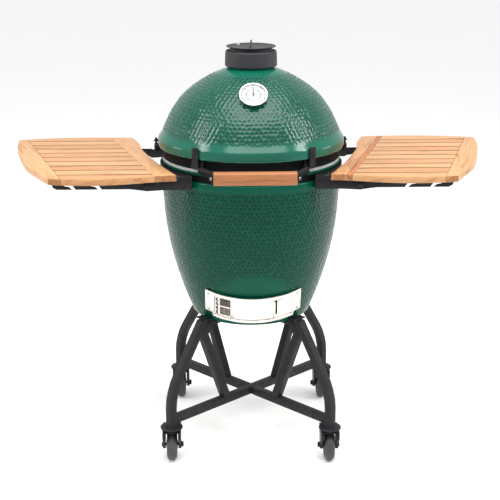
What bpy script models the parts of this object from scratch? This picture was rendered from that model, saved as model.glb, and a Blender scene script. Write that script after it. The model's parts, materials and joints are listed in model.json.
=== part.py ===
"""Kamado ceramic grill on a castered stand, with two folding side shelves.

Metres, +Z up. The origin is on the floor under the egg's axis, the front faces -Y.
"""

import math

import bmesh
import bpy
from mathutils import Matrix, Vector

GAP = 0.0003                 # air left between touching pieces
ROUND = 40                   # facets round the egg
FIREBOX_SIDES = 24

# Egg
PARTING_Z = 0.880            # plane where the dome meets the base
BASE_BOTTOM_Z = 0.406
FLOOR_THICKNESS = 0.0225
FLOOR_RADIUS = 0.140
RIM_RADIUS = 0.262
GROOVE_RADIUS = 0.2575       # ceramic behind the steel bands
RIM_INNER_RADIUS = 0.2345
WALL = 0.024
FLARE_RADIUS = 0.273
CHIMNEY_RADIUS = 0.052
NECK_RADIUS = 0.0665
NECK_TOP_Z = 1.162
GASKET_THICKNESS = 0.0037
GASKET_RADII = (0.2360, 0.2590)
BAND_RADII = (0.2578, 0.2605)
DOME_BAND_Z = (0.8863, 0.9140)
BASE_BAND_Z = (0.8495, 0.8675)

# Lid hinge
HINGE_Y = 0.330
HINGE_Z = 0.868
HINGE_PIN_RADIUS = 0.005
HINGE_EAR_RADIUS = 0.015
SPRING_RADIUS = 0.0092
SPRING_WIRE = 0.0015

# Handle
GRIP_FRONT_Y = -0.345
GRIP_DEPTH = 0.027
GRIP_Z = (0.869, 0.905)
GRIP_HALF_LENGTH = 0.113
HANDLE_PLATE = 0.005
HANDLE_ANGLE = math.radians(36)

# Vent cap
CAP_Z = (1.144, 1.190)
CAP_RADIUS = 0.0755
DISC_Z = 1.1985
DISC_RADIUS = 0.072
VENT_PIVOT = (-0.036, 0.036)

# Thermometer
GAUGE_FOOT = Vector((0.0, -0.1788, 1.0817))
GAUGE_TILT = math.radians(49)
GAUGE_RADIUS = 0.040
GAUGE_DEPTH = 0.016
GAUGE_FACETS = 24

# Draft door: sheets on a cylinder whose axis leans with the ceramic
DRAFT_LEAN = math.radians(18)
DRAFT_RADIUS = 0.2020
DRAFT_FRONT = Vector((0.0, -0.2070, 0.4675))
DRAFT_HALF_ANGLE = 42.0
DRAFT_STEP = 4.0

# Shelves
SHELF_TOP_Z = 0.873
SHELF_THICKNESS = 0.018
SHELF_PIVOT_X = 0.300
SHELF_PIVOT_Z = 0.8405
ARM_Y = 0.2225               # inner face of a shelf arm
ARM_THICKNESS = 0.004
ARM_BOTTOM_Z = 0.8345
ARM_NOSE_RADIUS = 0.0115
SHELF_PIN_RADIUS = 0.004

# Stand and casters
STAND_TURN = math.radians(-2.2)  # the stand sits a little turned under the egg
TUBE = 0.024
RAIL_Z = 0.133
LEG_REACH = 0.3310           # leg centre from the axis, along the diagonal
SOCKET_Z = (0.1076, 0.1133)
WHEEL_RADIUS = 0.048
WHEEL_WIDTH = 0.030
WHEEL_FACETS = 20
CASTER_TRAIL = 0.014
BRAKE_PIVOT = (0.0465, 0.0955)   # behind the swivel axis, above the floor

# Outer outlines of the ceramic, as (radius, height)
DOME_CURVE = ((0.2615, 0.9575), (0.249, 0.986), (0.232, 1.019), (0.2045, 1.057),
              (0.1735, 1.085), (0.129, 1.114), (0.096, 1.130))
BASE_CURVE = ((0.2640, 0.8290), (0.2618, 0.783), (0.2555, 0.700), (0.2440, 0.625),
              (0.2250, 0.547), (0.1995, 0.469), (0.1775, 0.415))

# Right shelf board seen from above, as (x, y)
SHELF_FRONT = ((0.216, -0.222), (0.275, -0.232), (0.360, -0.256), (0.440, -0.268),
               (0.530, -0.262), (0.567, -0.254))
SHELF_OUTER = ((0.567, -0.254), (0.612, -0.165), (0.652, -0.075), (0.692, 0.075),
               (0.714, 0.175), (0.7265, 0.285))
SHELF_BACK = ((0.7265, 0.285), (0.640, 0.307), (0.545, 0.318), (0.450, 0.318), (0.367, 0.310))
SHELF_INNER = ((0.367, 0.310), (0.341, 0.214), (0.328, 0.122), (0.292, -0.005),
               (0.262, -0.100), (0.216, -0.222))


# ---------------------------------------------------------------- helpers

def clear_scene():
    for item in list(bpy.data.objects):
        bpy.data.objects.remove(item, do_unlink=True)


def paint(name, colour, roughness, metallic=0.0):
    material = bpy.data.materials.get(name) or bpy.data.materials.new(name)
    material.use_nodes = True
    shader = material.node_tree.nodes["Principled BSDF"]
    shader.inputs["Base Color"].default_value = (*colour, 1.0)
    shader.inputs["Roughness"].default_value = roughness
    shader.inputs["Metallic"].default_value = metallic
    material.diffuse_color = (*colour, 1.0)
    return material


def axis_at(name, place):
    """An empty on a joint's axis, which the moving pieces hang from."""
    empty = bpy.data.objects.new(name, None)
    empty.location = place
    empty.empty_display_size = 0.02
    bpy.context.scene.collection.objects.link(empty)
    return empty


def finish(name, shape, material, parent=None, smooth=30):
    """Turns a bmesh in world coordinates into a named object."""
    bmesh.ops.recalc_face_normals(shape, faces=shape.faces)
    mesh = bpy.data.meshes.new(name)
    shape.to_mesh(mesh)
    shape.free()
    mesh.materials.append(material)
    if smooth:
        mesh.shade_smooth()
        mesh.set_sharp_from_angle(angle=math.radians(smooth))
    item = bpy.data.objects.new(name, mesh)
    bpy.context.scene.collection.objects.link(item)
    if parent:
        item.parent = parent
        item.matrix_parent_inverse = Matrix.Translation(parent.location).inverted()
    return item


def turned(profile, facets=ROUND, turn=0.0, matrix=None):
    """Revolves a closed (radius, height) outline about Z. Radius 0 makes a pole."""
    shape = bmesh.new()
    rings = []
    for radius, height in profile:
        if radius == 0:
            rings.append([shape.verts.new((0, 0, height))])
            continue
        angles = [turn + 2 * math.pi * i / facets for i in range(facets)]
        ring = [shape.verts.new((radius * math.cos(a), radius * math.sin(a), height)) for a in angles]
        rings.append(ring)
    for ring, following in zip(rings, rings[1:] + rings[:1]):
        join_rings(shape, ring, following, facets)
    if matrix:
        bmesh.ops.transform(shape, matrix=matrix, verts=shape.verts)
    return shape


def join_rings(shape, ring, following, facets):
    if len(ring) == 1 and len(following) == 1:
        return
    for i in range(facets):
        j = (i + 1) % facets
        if len(ring) == 1:
            shape.faces.new((ring[0], following[i], following[j]))
        elif len(following) == 1:
            shape.faces.new((ring[i], ring[j], following[0]))
        else:
            shape.faces.new((ring[i], ring[j], following[j], following[i]))


def slab(outline, low, high, matrix=None):
    """Extrudes a 2D outline along Z, then moves it by the matrix."""
    shape = bmesh.new()
    under = [shape.verts.new((x, y, low)) for x, y in outline]
    over = [shape.verts.new((x, y, high)) for x, y in outline]
    shape.faces.new(reversed(under))
    shape.faces.new(over)
    for i in range(len(outline)):
        j = (i + 1) % len(outline)
        shape.faces.new((under[i], under[j], over[j], over[i]))
    if matrix:
        bmesh.ops.transform(shape, matrix=matrix, verts=shape.verts)
    return shape


def block(low, high, matrix=None):
    outline = ((low[0], low[1]), (high[0], low[1]), (high[0], high[1]), (low[0], high[1]))
    return slab(outline, low[2], high[2], matrix)


def rod(start, end, radius, facets=12):
    """A round bar between two points."""
    along = Vector(end) - Vector(start)
    outline = circle(radius, facets)
    turn = along.to_track_quat("Z", "Y").to_matrix().to_4x4()
    return slab(outline, 0, along.length, Matrix.Translation(start) @ turn)


def circle(radius, facets, centre=(0, 0), start=0.0, sweep=2 * math.pi):
    closed = sweep > 6.28
    steps = facets if closed else facets + 1
    angles = [start + sweep * i / facets for i in range(steps)]
    return [(centre[0] + radius * math.cos(a), centre[1] + radius * math.sin(a)) for a in angles]


def curve_through(points, steps=2):
    """A smooth Catmull-Rom curve through the points, both ends kept."""
    known = [Vector(p) for p in points]
    known = [2 * known[0] - known[1]] + known + [2 * known[-1] - known[-2]]
    result = []
    for i in range(1, len(known) - 2):
        before, here, there, after = known[i - 1:i + 3]
        for step in range(steps):
            t = step / steps
            point = 0.5 * (2 * here + (there - before) * t
                           + (2 * before - 5 * here + 4 * there - after) * t * t
                           + (3 * here - before - 3 * there + after) * t ** 3)
            result.append(tuple(point))
    return result + [tuple(known[-2])]


def combine(item, shape, operation):
    """Adds or cuts a shape with a Boolean. The helper object never renders."""
    helper = finish(f"helper_{item.name}_{len(item.modifiers)}", shape, item.data.materials[0], smooth=0)
    helper.hide_render = True
    helper.display_type = "WIRE"
    change = item.modifiers.new(operation.lower(), "BOOLEAN")
    change.operation = operation
    change.solver = "EXACT"
    change.object = helper


def add(item, shape):
    combine(item, shape, "UNION")


def cut(item, shape):
    combine(item, shape, "DIFFERENCE")


# ---------------------------------------------------------------- ceramic

def base_shell():
    outer = curve_through(BASE_CURVE, 1)
    inner = [(radius - WALL, height) for radius, height in reversed(outer[1:-1])]
    floor_z = BASE_BOTTOM_Z + FLOOR_THICKNESS
    glaze = paint("glazed_base", (0.012, 0.107, 0.062), 0.22)
    profile = [(RIM_INNER_RADIUS, PARTING_Z - 0.0043), (0.2595, PARTING_Z - 0.0043),
               (RIM_RADIUS, 0.8742), (RIM_RADIUS, 0.8692), (GROOVE_RADIUS, 0.8678),
               (GROOVE_RADIUS, 0.8492), (0.2640, 0.8474)]
    profile += outer + [(0.1640, BASE_BOTTOM_Z), (FLOOR_RADIUS, BASE_BOTTOM_Z), (FLOOR_RADIUS, floor_z),
                        (0.146, floor_z)]
    profile += inner + [(RIM_INNER_RADIUS, 0.815)]
    item = finish("base_shell", turned(profile), glaze)
    cut(item, draft_patch(-0.062, 0.030, (-20, 20), (-0.024, 0.026), 4.0))
    disc = [(0, BASE_BOTTOM_Z), (FLOOR_RADIUS - GAP, BASE_BOTTOM_Z), (FLOOR_RADIUS - GAP, floor_z), (0, floor_z)]
    finish("base_floor", turned(disc), glaze)


def dome_shell(lid):
    outer = curve_through(DOME_CURVE, 1)
    inner = [(radius - WALL, height - 0.004) for radius, height in outer[1:-2]]
    profile = [(RIM_INNER_RADIUS, PARTING_Z + 0.0043), (0.2595, PARTING_Z + 0.0043),
               (RIM_RADIUS, 0.8853), (GROOVE_RADIUS, 0.8861), (GROOVE_RADIUS, 0.9142),
               (FLARE_RADIUS - 0.0015, 0.9156), (FLARE_RADIUS, 0.9180), (FLARE_RADIUS, 0.9395)]
    profile += outer + [(0.0800, 1.1365), (NECK_RADIUS, 1.1428), (NECK_RADIUS, NECK_TOP_Z),
                        (CHIMNEY_RADIUS, NECK_TOP_Z), (CHIMNEY_RADIUS, 1.118), (0.066, 1.108)]
    profile += list(reversed(inner)) + [(RIM_INNER_RADIUS, 0.952)]
    item = finish("dome_shell", turned(profile), paint("glazed_dome", (0.012, 0.107, 0.062), 0.22), lid)
    cut(item, rod(GAUGE_FOOT - 0.06 * gauge_normal(), GAUGE_FOOT + 0.05 * gauge_normal(), 0.0062))


def ring(name, radii, heights, material, parent=None):
    inner, outer = radii
    low, high = heights
    shape = turned([(inner, low), (outer, low), (outer, high), (inner, high)])
    return finish(name, shape, material, parent)


def gaskets(lid):
    felt = paint("felt", (0.42, 0.43, 0.41), 0.95)
    ring("dome_gasket", GASKET_RADII, (PARTING_Z + GAP, PARTING_Z + GAP + GASKET_THICKNESS), felt, lid)
    ring("base_gasket", GASKET_RADII, (PARTING_Z - GAP - GASKET_THICKNESS, PARTING_Z - GAP), felt)


def bands(lid, steel):
    band = ring("dome_band", BAND_RADII, DOME_BAND_Z, steel, lid)
    ring("base_band", BAND_RADII, BASE_BAND_Z, steel)
    for side in (-1, 1):
        ear_x = sorted((side * 0.2590, side * 0.2885))
        add(band, block((ear_x[0], 0.018, 0.8960), (ear_x[1], 0.042, 0.9060)))
        add(band, rod((side * 0.2825, 0.030, 0.8880), (side * 0.2825, 0.030, 0.9300), 0.0045))
        add(band, rod((side * 0.2825, 0.030, 0.9180), (side * 0.2825, 0.030, 0.9260), 0.0070, 6))


def firebox():
    clay = paint("fire_clay", (0.50, 0.47, 0.42), 0.9)
    profile = [(0.118, 0.429), (0.140, 0.429), (0.152, 0.469), (0.176, 0.547), (0.195, 0.625),
               (0.208, 0.700), (0.214, 0.742), (0.196, 0.742), (0.178, 0.625), (0.152, 0.547),
               (0.129, 0.502), (0.102, 0.502), (0.102, 0.492), (0.118, 0.480)]
    item = finish("firebox", turned(profile, FIREBOX_SIDES), clay)
    cut(item, block((-0.050, -0.20, 0.4200), (0.050, -0.08, 0.4800)))
    ring("fire_ring", (0.197, 0.2165), (0.742 + GAP, 0.858), clay)


def slotted_disc(name, radius, heights, border, pitch, slot, material, parent=None):
    """A round cast grate with straight slots from side to side."""
    low, high = heights
    item = finish(name, slab(circle(radius, ROUND), low, high), material, parent)
    count = int((radius - border) / pitch)
    shape = bmesh.new()
    for i in range(-count, count + 1):
        y = i * pitch
        far_side = abs(y) + slot / 2
        if far_side > radius - border - slot / 2:
            continue
        reach = math.sqrt((radius - border) ** 2 - far_side ** 2)
        hole = block((-reach, y - slot / 2, low - 0.01), (reach, y + slot / 2, high + 0.01))
        spare = bpy.data.meshes.new("slot")
        hole.to_mesh(spare)
        hole.free()
        shape.from_mesh(spare)
        bpy.data.meshes.remove(spare)
    cut(item, shape)
    return item


def grates():
    iron = paint("cast_iron", (0.03, 0.03, 0.03), 0.75, 0.6)
    slotted_disc("fire_grate", 0.125, (0.502 + GAP, 0.510), 0.016, 0.026, 0.012, iron)
    bright = paint("grid_steel", (0.62, 0.60, 0.57), 0.3, 1.0)
    lift = axis_at("grid_axis", (0, 0, 0.858))
    slotted_disc("cooking_grid", 0.2285, (0.858 + GAP, 0.8643), 0.010, 0.030, 0.021, bright, lift)


# ---------------------------------------------------------------- lid hinge

def hinge_plate(name, x_half, plate_y, heights, ear_x, steel, parent=None):
    """A flat plate on the band with two ears that reach back to the hinge pin."""
    low, high = heights
    item = finish(name, block((-x_half, plate_y, low), (x_half, plate_y + 0.005, high)), steel, parent)
    tip = circle(HINGE_EAR_RADIUS, 10, (HINGE_Y, HINGE_Z), -math.pi / 2, math.pi)
    outline = [(plate_y + 0.002, low + 0.002)] + tip + [(plate_y + 0.002, high - 0.002)]
    for side in (-1, 1):
        inner, outer = sorted((side * ear_x[0], side * ear_x[1]))
        add(item, slab(outline, inner, outer, along_x()))
    cut(item, rod((-0.08, HINGE_Y, HINGE_Z), (0.08, HINGE_Y, HINGE_Z), HINGE_PIN_RADIUS + GAP))
    return item


def along_x():
    """Turns an outline drawn as (y, z), extruded along Z, into one extruded along X."""
    return Matrix(((0, 0, 1, 0), (1, 0, 0, 0), (0, 1, 0, 0), (0, 0, 0, 1)))


def along_y():
    """Turns an outline drawn as (x, z), extruded along Z, into one extruded along Y."""
    return Matrix(((1, 0, 0, 0), (0, 0, 1, 0), (0, 1, 0, 0), (0, 0, 0, 1)))


def spring(name, low_x, high_x, steel):
    """A torsion spring of round wire coiled round the hinge pin."""
    per_turn = 10
    total = 4 * per_turn
    shape = bmesh.new()
    rings = []
    for i in range(total + 1):
        angle = 2 * math.pi * i / per_turn
        outward = Vector((0, math.cos(angle), math.sin(angle)))
        x = low_x + (high_x - low_x) * i / total
        middle = Vector((x, HINGE_Y, HINGE_Z)) + SPRING_RADIUS * outward
        wire = [middle + outward * u + Vector((v, 0, 0)) for u, v in circle(SPRING_WIRE, 6)]
        rings.append([shape.verts.new(place) for place in wire])
    for ring_a, ring_b in zip(rings, rings[1:]):
        join_rings(shape, ring_a, ring_b, 6)
    shape.faces.new(rings[0])
    shape.faces.new(rings[-1])
    finish(name, shape, steel)


def lid_hinge(lid, steel):
    hinge_plate("hinge_lower_bracket", 0.062, 0.2645, (0.838, 0.872), (0.0565, 0.0610), steel)
    hinge_plate("hinge_upper_bracket", 0.052, 0.2612, (0.888, 0.912), (0.0465, 0.0510), steel, lid)
    pin = finish("hinge_pin", rod((-0.066, HINGE_Y, HINGE_Z), (0.066, HINGE_Y, HINGE_Z),
                                  HINGE_PIN_RADIUS), paint("pin_steel", (0.5, 0.5, 0.5), 0.35, 1.0))
    for side in (-1, 1):
        add(pin, rod((side * 0.0625, HINGE_Y, HINGE_Z), (side * 0.067, HINGE_Y, HINGE_Z), 0.009))
    coil = paint("spring_steel", (0.12, 0.12, 0.13), 0.4, 0.9)
    spring("hinge_spring_left", -0.042, -0.006, coil)
    spring("hinge_spring_right", 0.006, 0.042, coil)


# ---------------------------------------------------------------- handle

def handle_grip(lid):
    back = GRIP_FRONT_Y + GRIP_DEPTH
    low, high = GRIP_Z
    edge = 0.006
    outline = [(back, low), (back, high), (GRIP_FRONT_Y + edge, high), (GRIP_FRONT_Y, high - edge),
               (GRIP_FRONT_Y, low + edge), (GRIP_FRONT_Y + edge, low)]
    wood = paint("handle_wood", (0.62, 0.30, 0.12), 0.45)
    item = finish("handle_grip", slab(outline, -GRIP_HALF_LENGTH, GRIP_HALF_LENGTH, along_x()),
                  wood, lid, 0)
    centre = handle_centre()
    cut(item, rod((-0.14, *centre), (0.14, *centre), 0.0044))
    steel = paint("pin_steel", (0.5, 0.5, 0.5), 0.35, 1.0)
    reach = GRIP_HALF_LENGTH + HANDLE_PLATE + 0.003
    finish("handle_rod", rod((-reach, *centre), (reach, *centre), 0.0040), steel, lid)


def handle_centre():
    return (GRIP_FRONT_Y + GRIP_DEPTH / 2, (GRIP_Z[0] + GRIP_Z[1]) / 2)


def handle_arm(name, side, lid, steel):
    """Foot on the band, tab up over the flare, and a bar out to the end of the grip."""
    turn = Matrix.Rotation(side * HANDLE_ANGLE, 4, "Z")
    foot = block((-0.020, -0.2665, 0.8880), (0.020, -0.2612, 0.9125), turn)
    item = finish(name, foot, steel, lid, 0)
    tab = [(-0.2785, 0.8940), (-0.2785, 0.9495), (-0.2745, 0.9495), (-0.2745, 0.9110),
           (-0.2640, 0.9110), (-0.2640, 0.8940)]
    add(item, slab(tab, -0.0110, 0.0110, turn @ along_x()))
    near = GRIP_HALF_LENGTH + GAP
    far = near + HANDLE_PLATE
    outline = [(near, GRIP_FRONT_Y + 0.002), (far, GRIP_FRONT_Y + 0.002), (far, -0.300),
               (0.1560, -0.2180), (0.1500, -0.2180), (near, -0.302)]
    outline = [(side * x, y) for x, y in outline]
    add(item, slab(outline, 0.8765, 0.8990))
    centre = handle_centre()
    cut(item, rod((side * 0.11, *centre), (side * 0.13, *centre), 0.0044))


# ---------------------------------------------------------------- vent cap

def vent_cap():
    metal = paint("cast_cap", (0.075, 0.073, 0.080), 0.5, 0.7)
    low, high = CAP_Z
    profile = [(NECK_RADIUS + 0.0012, low), (CAP_RADIUS - 0.004, low), (CAP_RADIUS, low + 0.004),
               (CAP_RADIUS - 0.0008, high - 0.004), (CAP_RADIUS - 0.004, high),
               (CAP_RADIUS - 0.0075, high - 0.002), (0.0635, high - 0.007), (0.0615, DISC_Z - 0.0015),
               (0.0500, DISC_Z - 0.0015), (0.0500, NECK_TOP_Z + GAP),
               (NECK_RADIUS + 0.0012, NECK_TOP_Z + GAP)]
    body = finish("cap_body", turned(profile), metal, axis_at("cap_axis", (0, 0, low)))
    boss = turned([(0, DISC_Z - 0.012), (0.0075, DISC_Z - 0.012), (0.0075, DISC_Z - 0.0005),
                   (0, DISC_Z - 0.0005)], 12, matrix=Matrix.Translation((*VENT_PIVOT, 0)))
    add(body, boss)
    cut(body, rod((*VENT_PIVOT, DISC_Z - 0.009), (*VENT_PIVOT, DISC_Z + 0.01), 0.0033))
    return metal


def vent_disc(metal):
    """Shallow dished disc with an upright fin that runs front to back."""
    pivot = axis_at("vent_axis", (*VENT_PIVOT, DISC_Z))
    profile = [(0, DISC_Z), (DISC_RADIUS - 0.004, DISC_Z), (DISC_RADIUS, DISC_Z + 0.0022),
               (DISC_RADIUS, DISC_Z + 0.0040), (DISC_RADIUS - 0.009, DISC_Z + 0.0022),
               (0, DISC_Z + 0.0022)]
    item = finish("vent_disc", turned(profile), metal, pivot)
    fin = [(-0.064, DISC_Z + 0.001), (0.004, DISC_Z + 0.001), (0.004, DISC_Z + 0.0200),
           (-0.006, DISC_Z + 0.0215), (-0.056, DISC_Z + 0.0090), (-0.064, DISC_Z + 0.0050)]
    add(item, slab(fin, -0.002, 0.002, along_x()))
    cut(item, rod((*VENT_PIVOT, DISC_Z - 0.01), (*VENT_PIVOT, DISC_Z + 0.01), 0.0034))
    screw = turned([(0, DISC_Z - 0.0085), (0.0030, DISC_Z - 0.0085), (0.0030, DISC_Z + 0.0027),
                    (0.0060, DISC_Z + 0.0027), (0.0055, DISC_Z + 0.0052), (0, DISC_Z + 0.0052)], 12,
                   matrix=Matrix.Translation((*VENT_PIVOT, 0)))
    finish("vent_pivot", screw, paint("pin_steel", (0.5, 0.5, 0.5), 0.35, 1.0))


# ---------------------------------------------------------------- thermometer

def gauge_normal():
    return Vector((0, -math.cos(GAUGE_TILT), math.sin(GAUGE_TILT)))


def gauge_frame():
    """Local Z leaves the dome, local Y points up the dome."""
    turn = Matrix.Rotation(math.pi / 2 - GAUGE_TILT, 4, "X")
    return Matrix.Translation(GAUGE_FOOT) @ turn


def thermometer(lid):
    place = gauge_frame()
    bezel = paint("bezel", (0.72, 0.71, 0.69), 0.2, 1.0)
    case = [(0, -0.055), (0.0030, -0.055), (0.0045, -0.050), (0.0045, 0.0015), (0.0340, 0.0015),
            (0.0365, 0.004), (0.0365, 0.009), (GAUGE_RADIUS, 0.010), (GAUGE_RADIUS, 0.015),
            (0.0385, GAUGE_DEPTH), (0.0355, GAUGE_DEPTH), (0.0350, 0.010), (0, 0.010)]
    finish("thermometer_case", turned(case, GAUGE_FACETS, matrix=place), bezel, lid)
    dial = [(0, 0.0103), (0.0345, 0.0103), (0.0345, 0.0111), (0, 0.0111)]
    white = paint("dial_white", (0.82, 0.82, 0.79), 0.5)
    finish("thermometer_dial", turned(dial, GAUGE_FACETS, matrix=place), white, lid)
    hub = axis_at("pointer_axis", GAUGE_FOOT)
    black = paint("pointer_black", (0.02, 0.02, 0.02), 0.4)
    needle = [(-0.0022, -0.006), (0.0022, -0.006), (0.0012, 0.010), (0.0002, 0.026), (-0.0002, 0.026),
              (-0.0012, 0.010)]
    pointer = finish("thermometer_pointer", slab(needle, 0.0117, 0.0124, place), black, hub, 0)
    add(pointer, turned([(0, 0.0114), (0.0034, 0.0114), (0.0034, 0.0128), (0, 0.0128)], 12, matrix=place))
    glass = paint("gauge_glass", (0.9, 0.93, 0.93), 0.05)
    lens = [(0, 0.0135), (0.0345, 0.0135), (0.0345, 0.0150), (0, 0.0158)]
    finish("thermometer_lens", turned(lens, GAUGE_FACETS, matrix=place), glass, lid)


# ---------------------------------------------------------------- draft door

def draft_frame_matrix():
    """Local Z is the leaning cylinder's axis, local -Y faces out of the ceramic."""
    turn = Matrix.Rotation(DRAFT_LEAN, 4, "X")
    back = turn @ Vector((0, DRAFT_RADIUS, 0))
    return Matrix.Translation(DRAFT_FRONT + back) @ turn


def draft_patch(inside, outside, angles, heights, step=DRAFT_STEP):
    """A curved sheet between two depths from the draft cylinder, two angles and two heights."""
    start, end = angles
    steps = max(1, round((end - start) / step))
    values = [math.radians(start + (end - start) * i / steps) for i in range(steps + 1)]
    near = DRAFT_RADIUS + inside
    far = DRAFT_RADIUS + outside
    outline = [(far * math.sin(a), -far * math.cos(a)) for a in values]
    outline += [(near * math.sin(a), -near * math.cos(a)) for a in reversed(values)]
    return slab(outline, heights[0], heights[1], draft_frame_matrix())


def draft_assembly():
    steel = paint("stainless", (0.72, 0.68, 0.62), 0.28, 1.0)
    whole = (-DRAFT_HALF_ANGLE, DRAFT_HALF_ANGLE)
    frame = finish("draft_frame", draft_patch(0, 0.0067, whole, (-0.0430, 0.0420)), steel)
    for angles in ((-DRAFT_HALF_ANGLE - 6, -35), (35, DRAFT_HALF_ANGLE + 6)):
        cut(frame, draft_patch(-0.0100, 0.0200, angles, (-0.0600, -0.0290)))
    cut(frame, draft_patch(0.0012, 0.0055, (-33, 33), (-0.0365, 0.0365)))
    cut(frame, draft_patch(0.0040, 0.0090, (-33, 33), (-0.0345, 0.0345)))
    cut(frame, draft_patch(-0.0030, 0.0030, (-20, 20), (-0.0240, 0.0260)))
    pivot = draft_frame_matrix().translation
    screen_axis = axis_at("draft_screen_axis", pivot)
    screen = finish("draft_screen", draft_patch(0.0017, 0.0029, (-31.5, 8), (-0.0355, 0.0355)),
                    steel, screen_axis)
    for start in (-28.5, -15.5, -5.0):
        width = 9.5 if start < -20 else 8.5
        for heights in ((0.0020, 0.0290), (-0.0290, -0.0020)):
            cut(screen, draft_patch(-0.002, 0.006, (start, start + width), heights, 5.0))
    door_axis = axis_at("draft_door_axis", pivot)
    door = finish("draft_door", draft_patch(0.0035, 0.0049, (-18.5, 17), (-0.0355, 0.0355)),
                  steel, door_axis)
    add(door, draft_patch(0.0040, 0.0150, (16.2, 16.9), (-0.0330, 0.0300), 1.0))


# ---------------------------------------------------------------- shelves

def mirrored(outline, side):
    return [(side * x, y) for x, y in outline]


def shelf_board(side, wood, pivot):
    edge = curve_through(SHELF_FRONT, 1)[:-1] + curve_through(SHELF_OUTER, 2)[:-1]
    edge += curve_through(SHELF_BACK, 1)[:-1] + curve_through(SHELF_INNER, 2)[:-1]
    shape = slab(mirrored(edge, side), SHELF_TOP_Z - SHELF_THICKNESS, SHELF_TOP_Z)
    finish(f"shelf_board_{side_name(side)}", shape, wood, pivot, 0)


def side_name(side):
    return "right" if side > 0 else "left"


def hook_notch(x):
    """Slot open below with a tongue that points towards the egg, as (x, z)."""
    low = ARM_BOTTOM_Z
    return [(x, low), (x + 0.012, low + 0.0170), (x + 0.029, low + 0.0170), (x + 0.033, low + 0.0135),
            (x + 0.031, low + 0.0095), (x + 0.019, low + 0.0075), (x + 0.010, low)]


def shelf_arm(side, front, steel, pivot):
    """Flat bar under the board, hooked at the front of the grill, pinned to the bracket."""
    top = SHELF_TOP_Z - SHELF_THICKNESS - GAP
    nose = circle(ARM_NOSE_RADIUS, 8, (SHELF_PIVOT_X, SHELF_PIVOT_Z), math.pi / 2, math.pi)
    outline = [(SHELF_PIVOT_X + 0.004, top)] + nose + [(0.345, ARM_BOTTOM_Z)]
    if front < 0:
        outline += hook_notch(0.423) + hook_notch(0.495)
    outline += [(0.548, ARM_BOTTOM_Z), (0.558, ARM_BOTTOM_Z + 0.006), (0.564, top)]
    near, far = sorted((front * ARM_Y, front * (ARM_Y + ARM_THICKNESS)))
    where = "front" if front < 0 else "rear"
    item = finish(f"shelf_arm_{where}_{side_name(side)}",
                  slab(mirrored(outline, side), near, far, along_y()), steel, pivot, 0)
    cut(item, rod((side * SHELF_PIVOT_X, near - 0.01, SHELF_PIVOT_Z),
                  (side * SHELF_PIVOT_X, far + 0.01, SHELF_PIVOT_Z), SHELF_PIN_RADIUS + 0.0004))


def shelf_bracket(side, steel):
    """Curved plate round the side of the rim, with an ear and a pin at each end."""
    start, sweep = math.radians(-49), math.radians(98)
    outline = circle(0.2690, 14, start=start, sweep=sweep)
    outline += list(reversed(circle(0.2655, 14, start=start, sweep=sweep)))
    item = finish(f"shelf_bracket_{side_name(side)}", slab(mirrored(outline, side), 0.8300, 0.8670),
                  steel, None, 0)
    for front in (-1, 1):
        y_near, y_far = sorted((front * (ARM_Y - 0.005), front * (ARM_Y - 0.001)))
        tip = circle(0.0135, 8, (SHELF_PIVOT_X, SHELF_PIVOT_Z), math.pi / 2, -math.pi)
        ear = [(0.1720, 0.8670), (0.2120, 0.8670), (0.2150, 0.8540)] + tip + [(0.250, 0.8300), (0.1720, 0.8300)]
        add(item, slab(mirrored(ear, side), y_near, y_far, along_y()))
        web_x = sorted((side * 0.1720, side * 0.1790))
        web_y = sorted((front * 0.2020, front * (ARM_Y - 0.002)))
        add(item, block((web_x[0], web_y[0], 0.8300), (web_x[1], web_y[1], 0.8670)))
        place = (side * SHELF_PIVOT_X, SHELF_PIVOT_Z)
        add(item, rod((place[0], front * (ARM_Y - 0.003), place[1]),
                      (place[0], front * (ARM_Y + 0.0065), place[1]), SHELF_PIN_RADIUS))
        add(item, rod((place[0], front * (ARM_Y + 0.0045), place[1]),
                      (place[0], front * (ARM_Y + 0.0065), place[1]), 0.0075))


def shelves(steel):
    wood = paint("acacia", (0.78, 0.45, 0.23), 0.5)
    for side in (-1, 1):
        pivot = axis_at(f"shelf_axis_{side_name(side)}", (side * SHELF_PIVOT_X, 0, SHELF_PIVOT_Z))
        shelf_board(side, wood, pivot)
        shelf_arm(side, -1, steel, pivot)
        shelf_arm(side, 1, steel, pivot)
        shelf_bracket(side, steel)


# ---------------------------------------------------------------- stand

def diagonal(corner):
    """Local X runs out along the corner's diagonal, local Y is level, drawn as (distance, height)."""
    out = Vector((*caster_place(corner), 0)).normalized()
    up = Vector((0, 0, 1))
    across = out.cross(up)
    return Matrix((out, up, across)).transposed().to_4x4()


def corner_name(corner):
    return ("front_" if corner[1] < 0 else "rear_") + side_name(corner[0])


def tube_outline(path, half):
    """Offsets a bent centre line to both sides, with mitred corners."""
    points = [Vector(p) for p in path]
    left, right = [], []
    for i, point in enumerate(points):
        before = (point - points[max(i - 1, 0)]).normalized()
        after = (points[min(i + 1, len(points) - 1)] - point).normalized()
        along = (before + after).normalized()
        side = Vector((-along.y, along.x))
        reach = half / max(0.5, math.sqrt((1 + before.dot(after)) / 2) if before.length and after.length else 1)
        left.append(tuple(point + side * reach))
        right.append(tuple(point - side * reach))
    return left + list(reversed(right))


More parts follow.
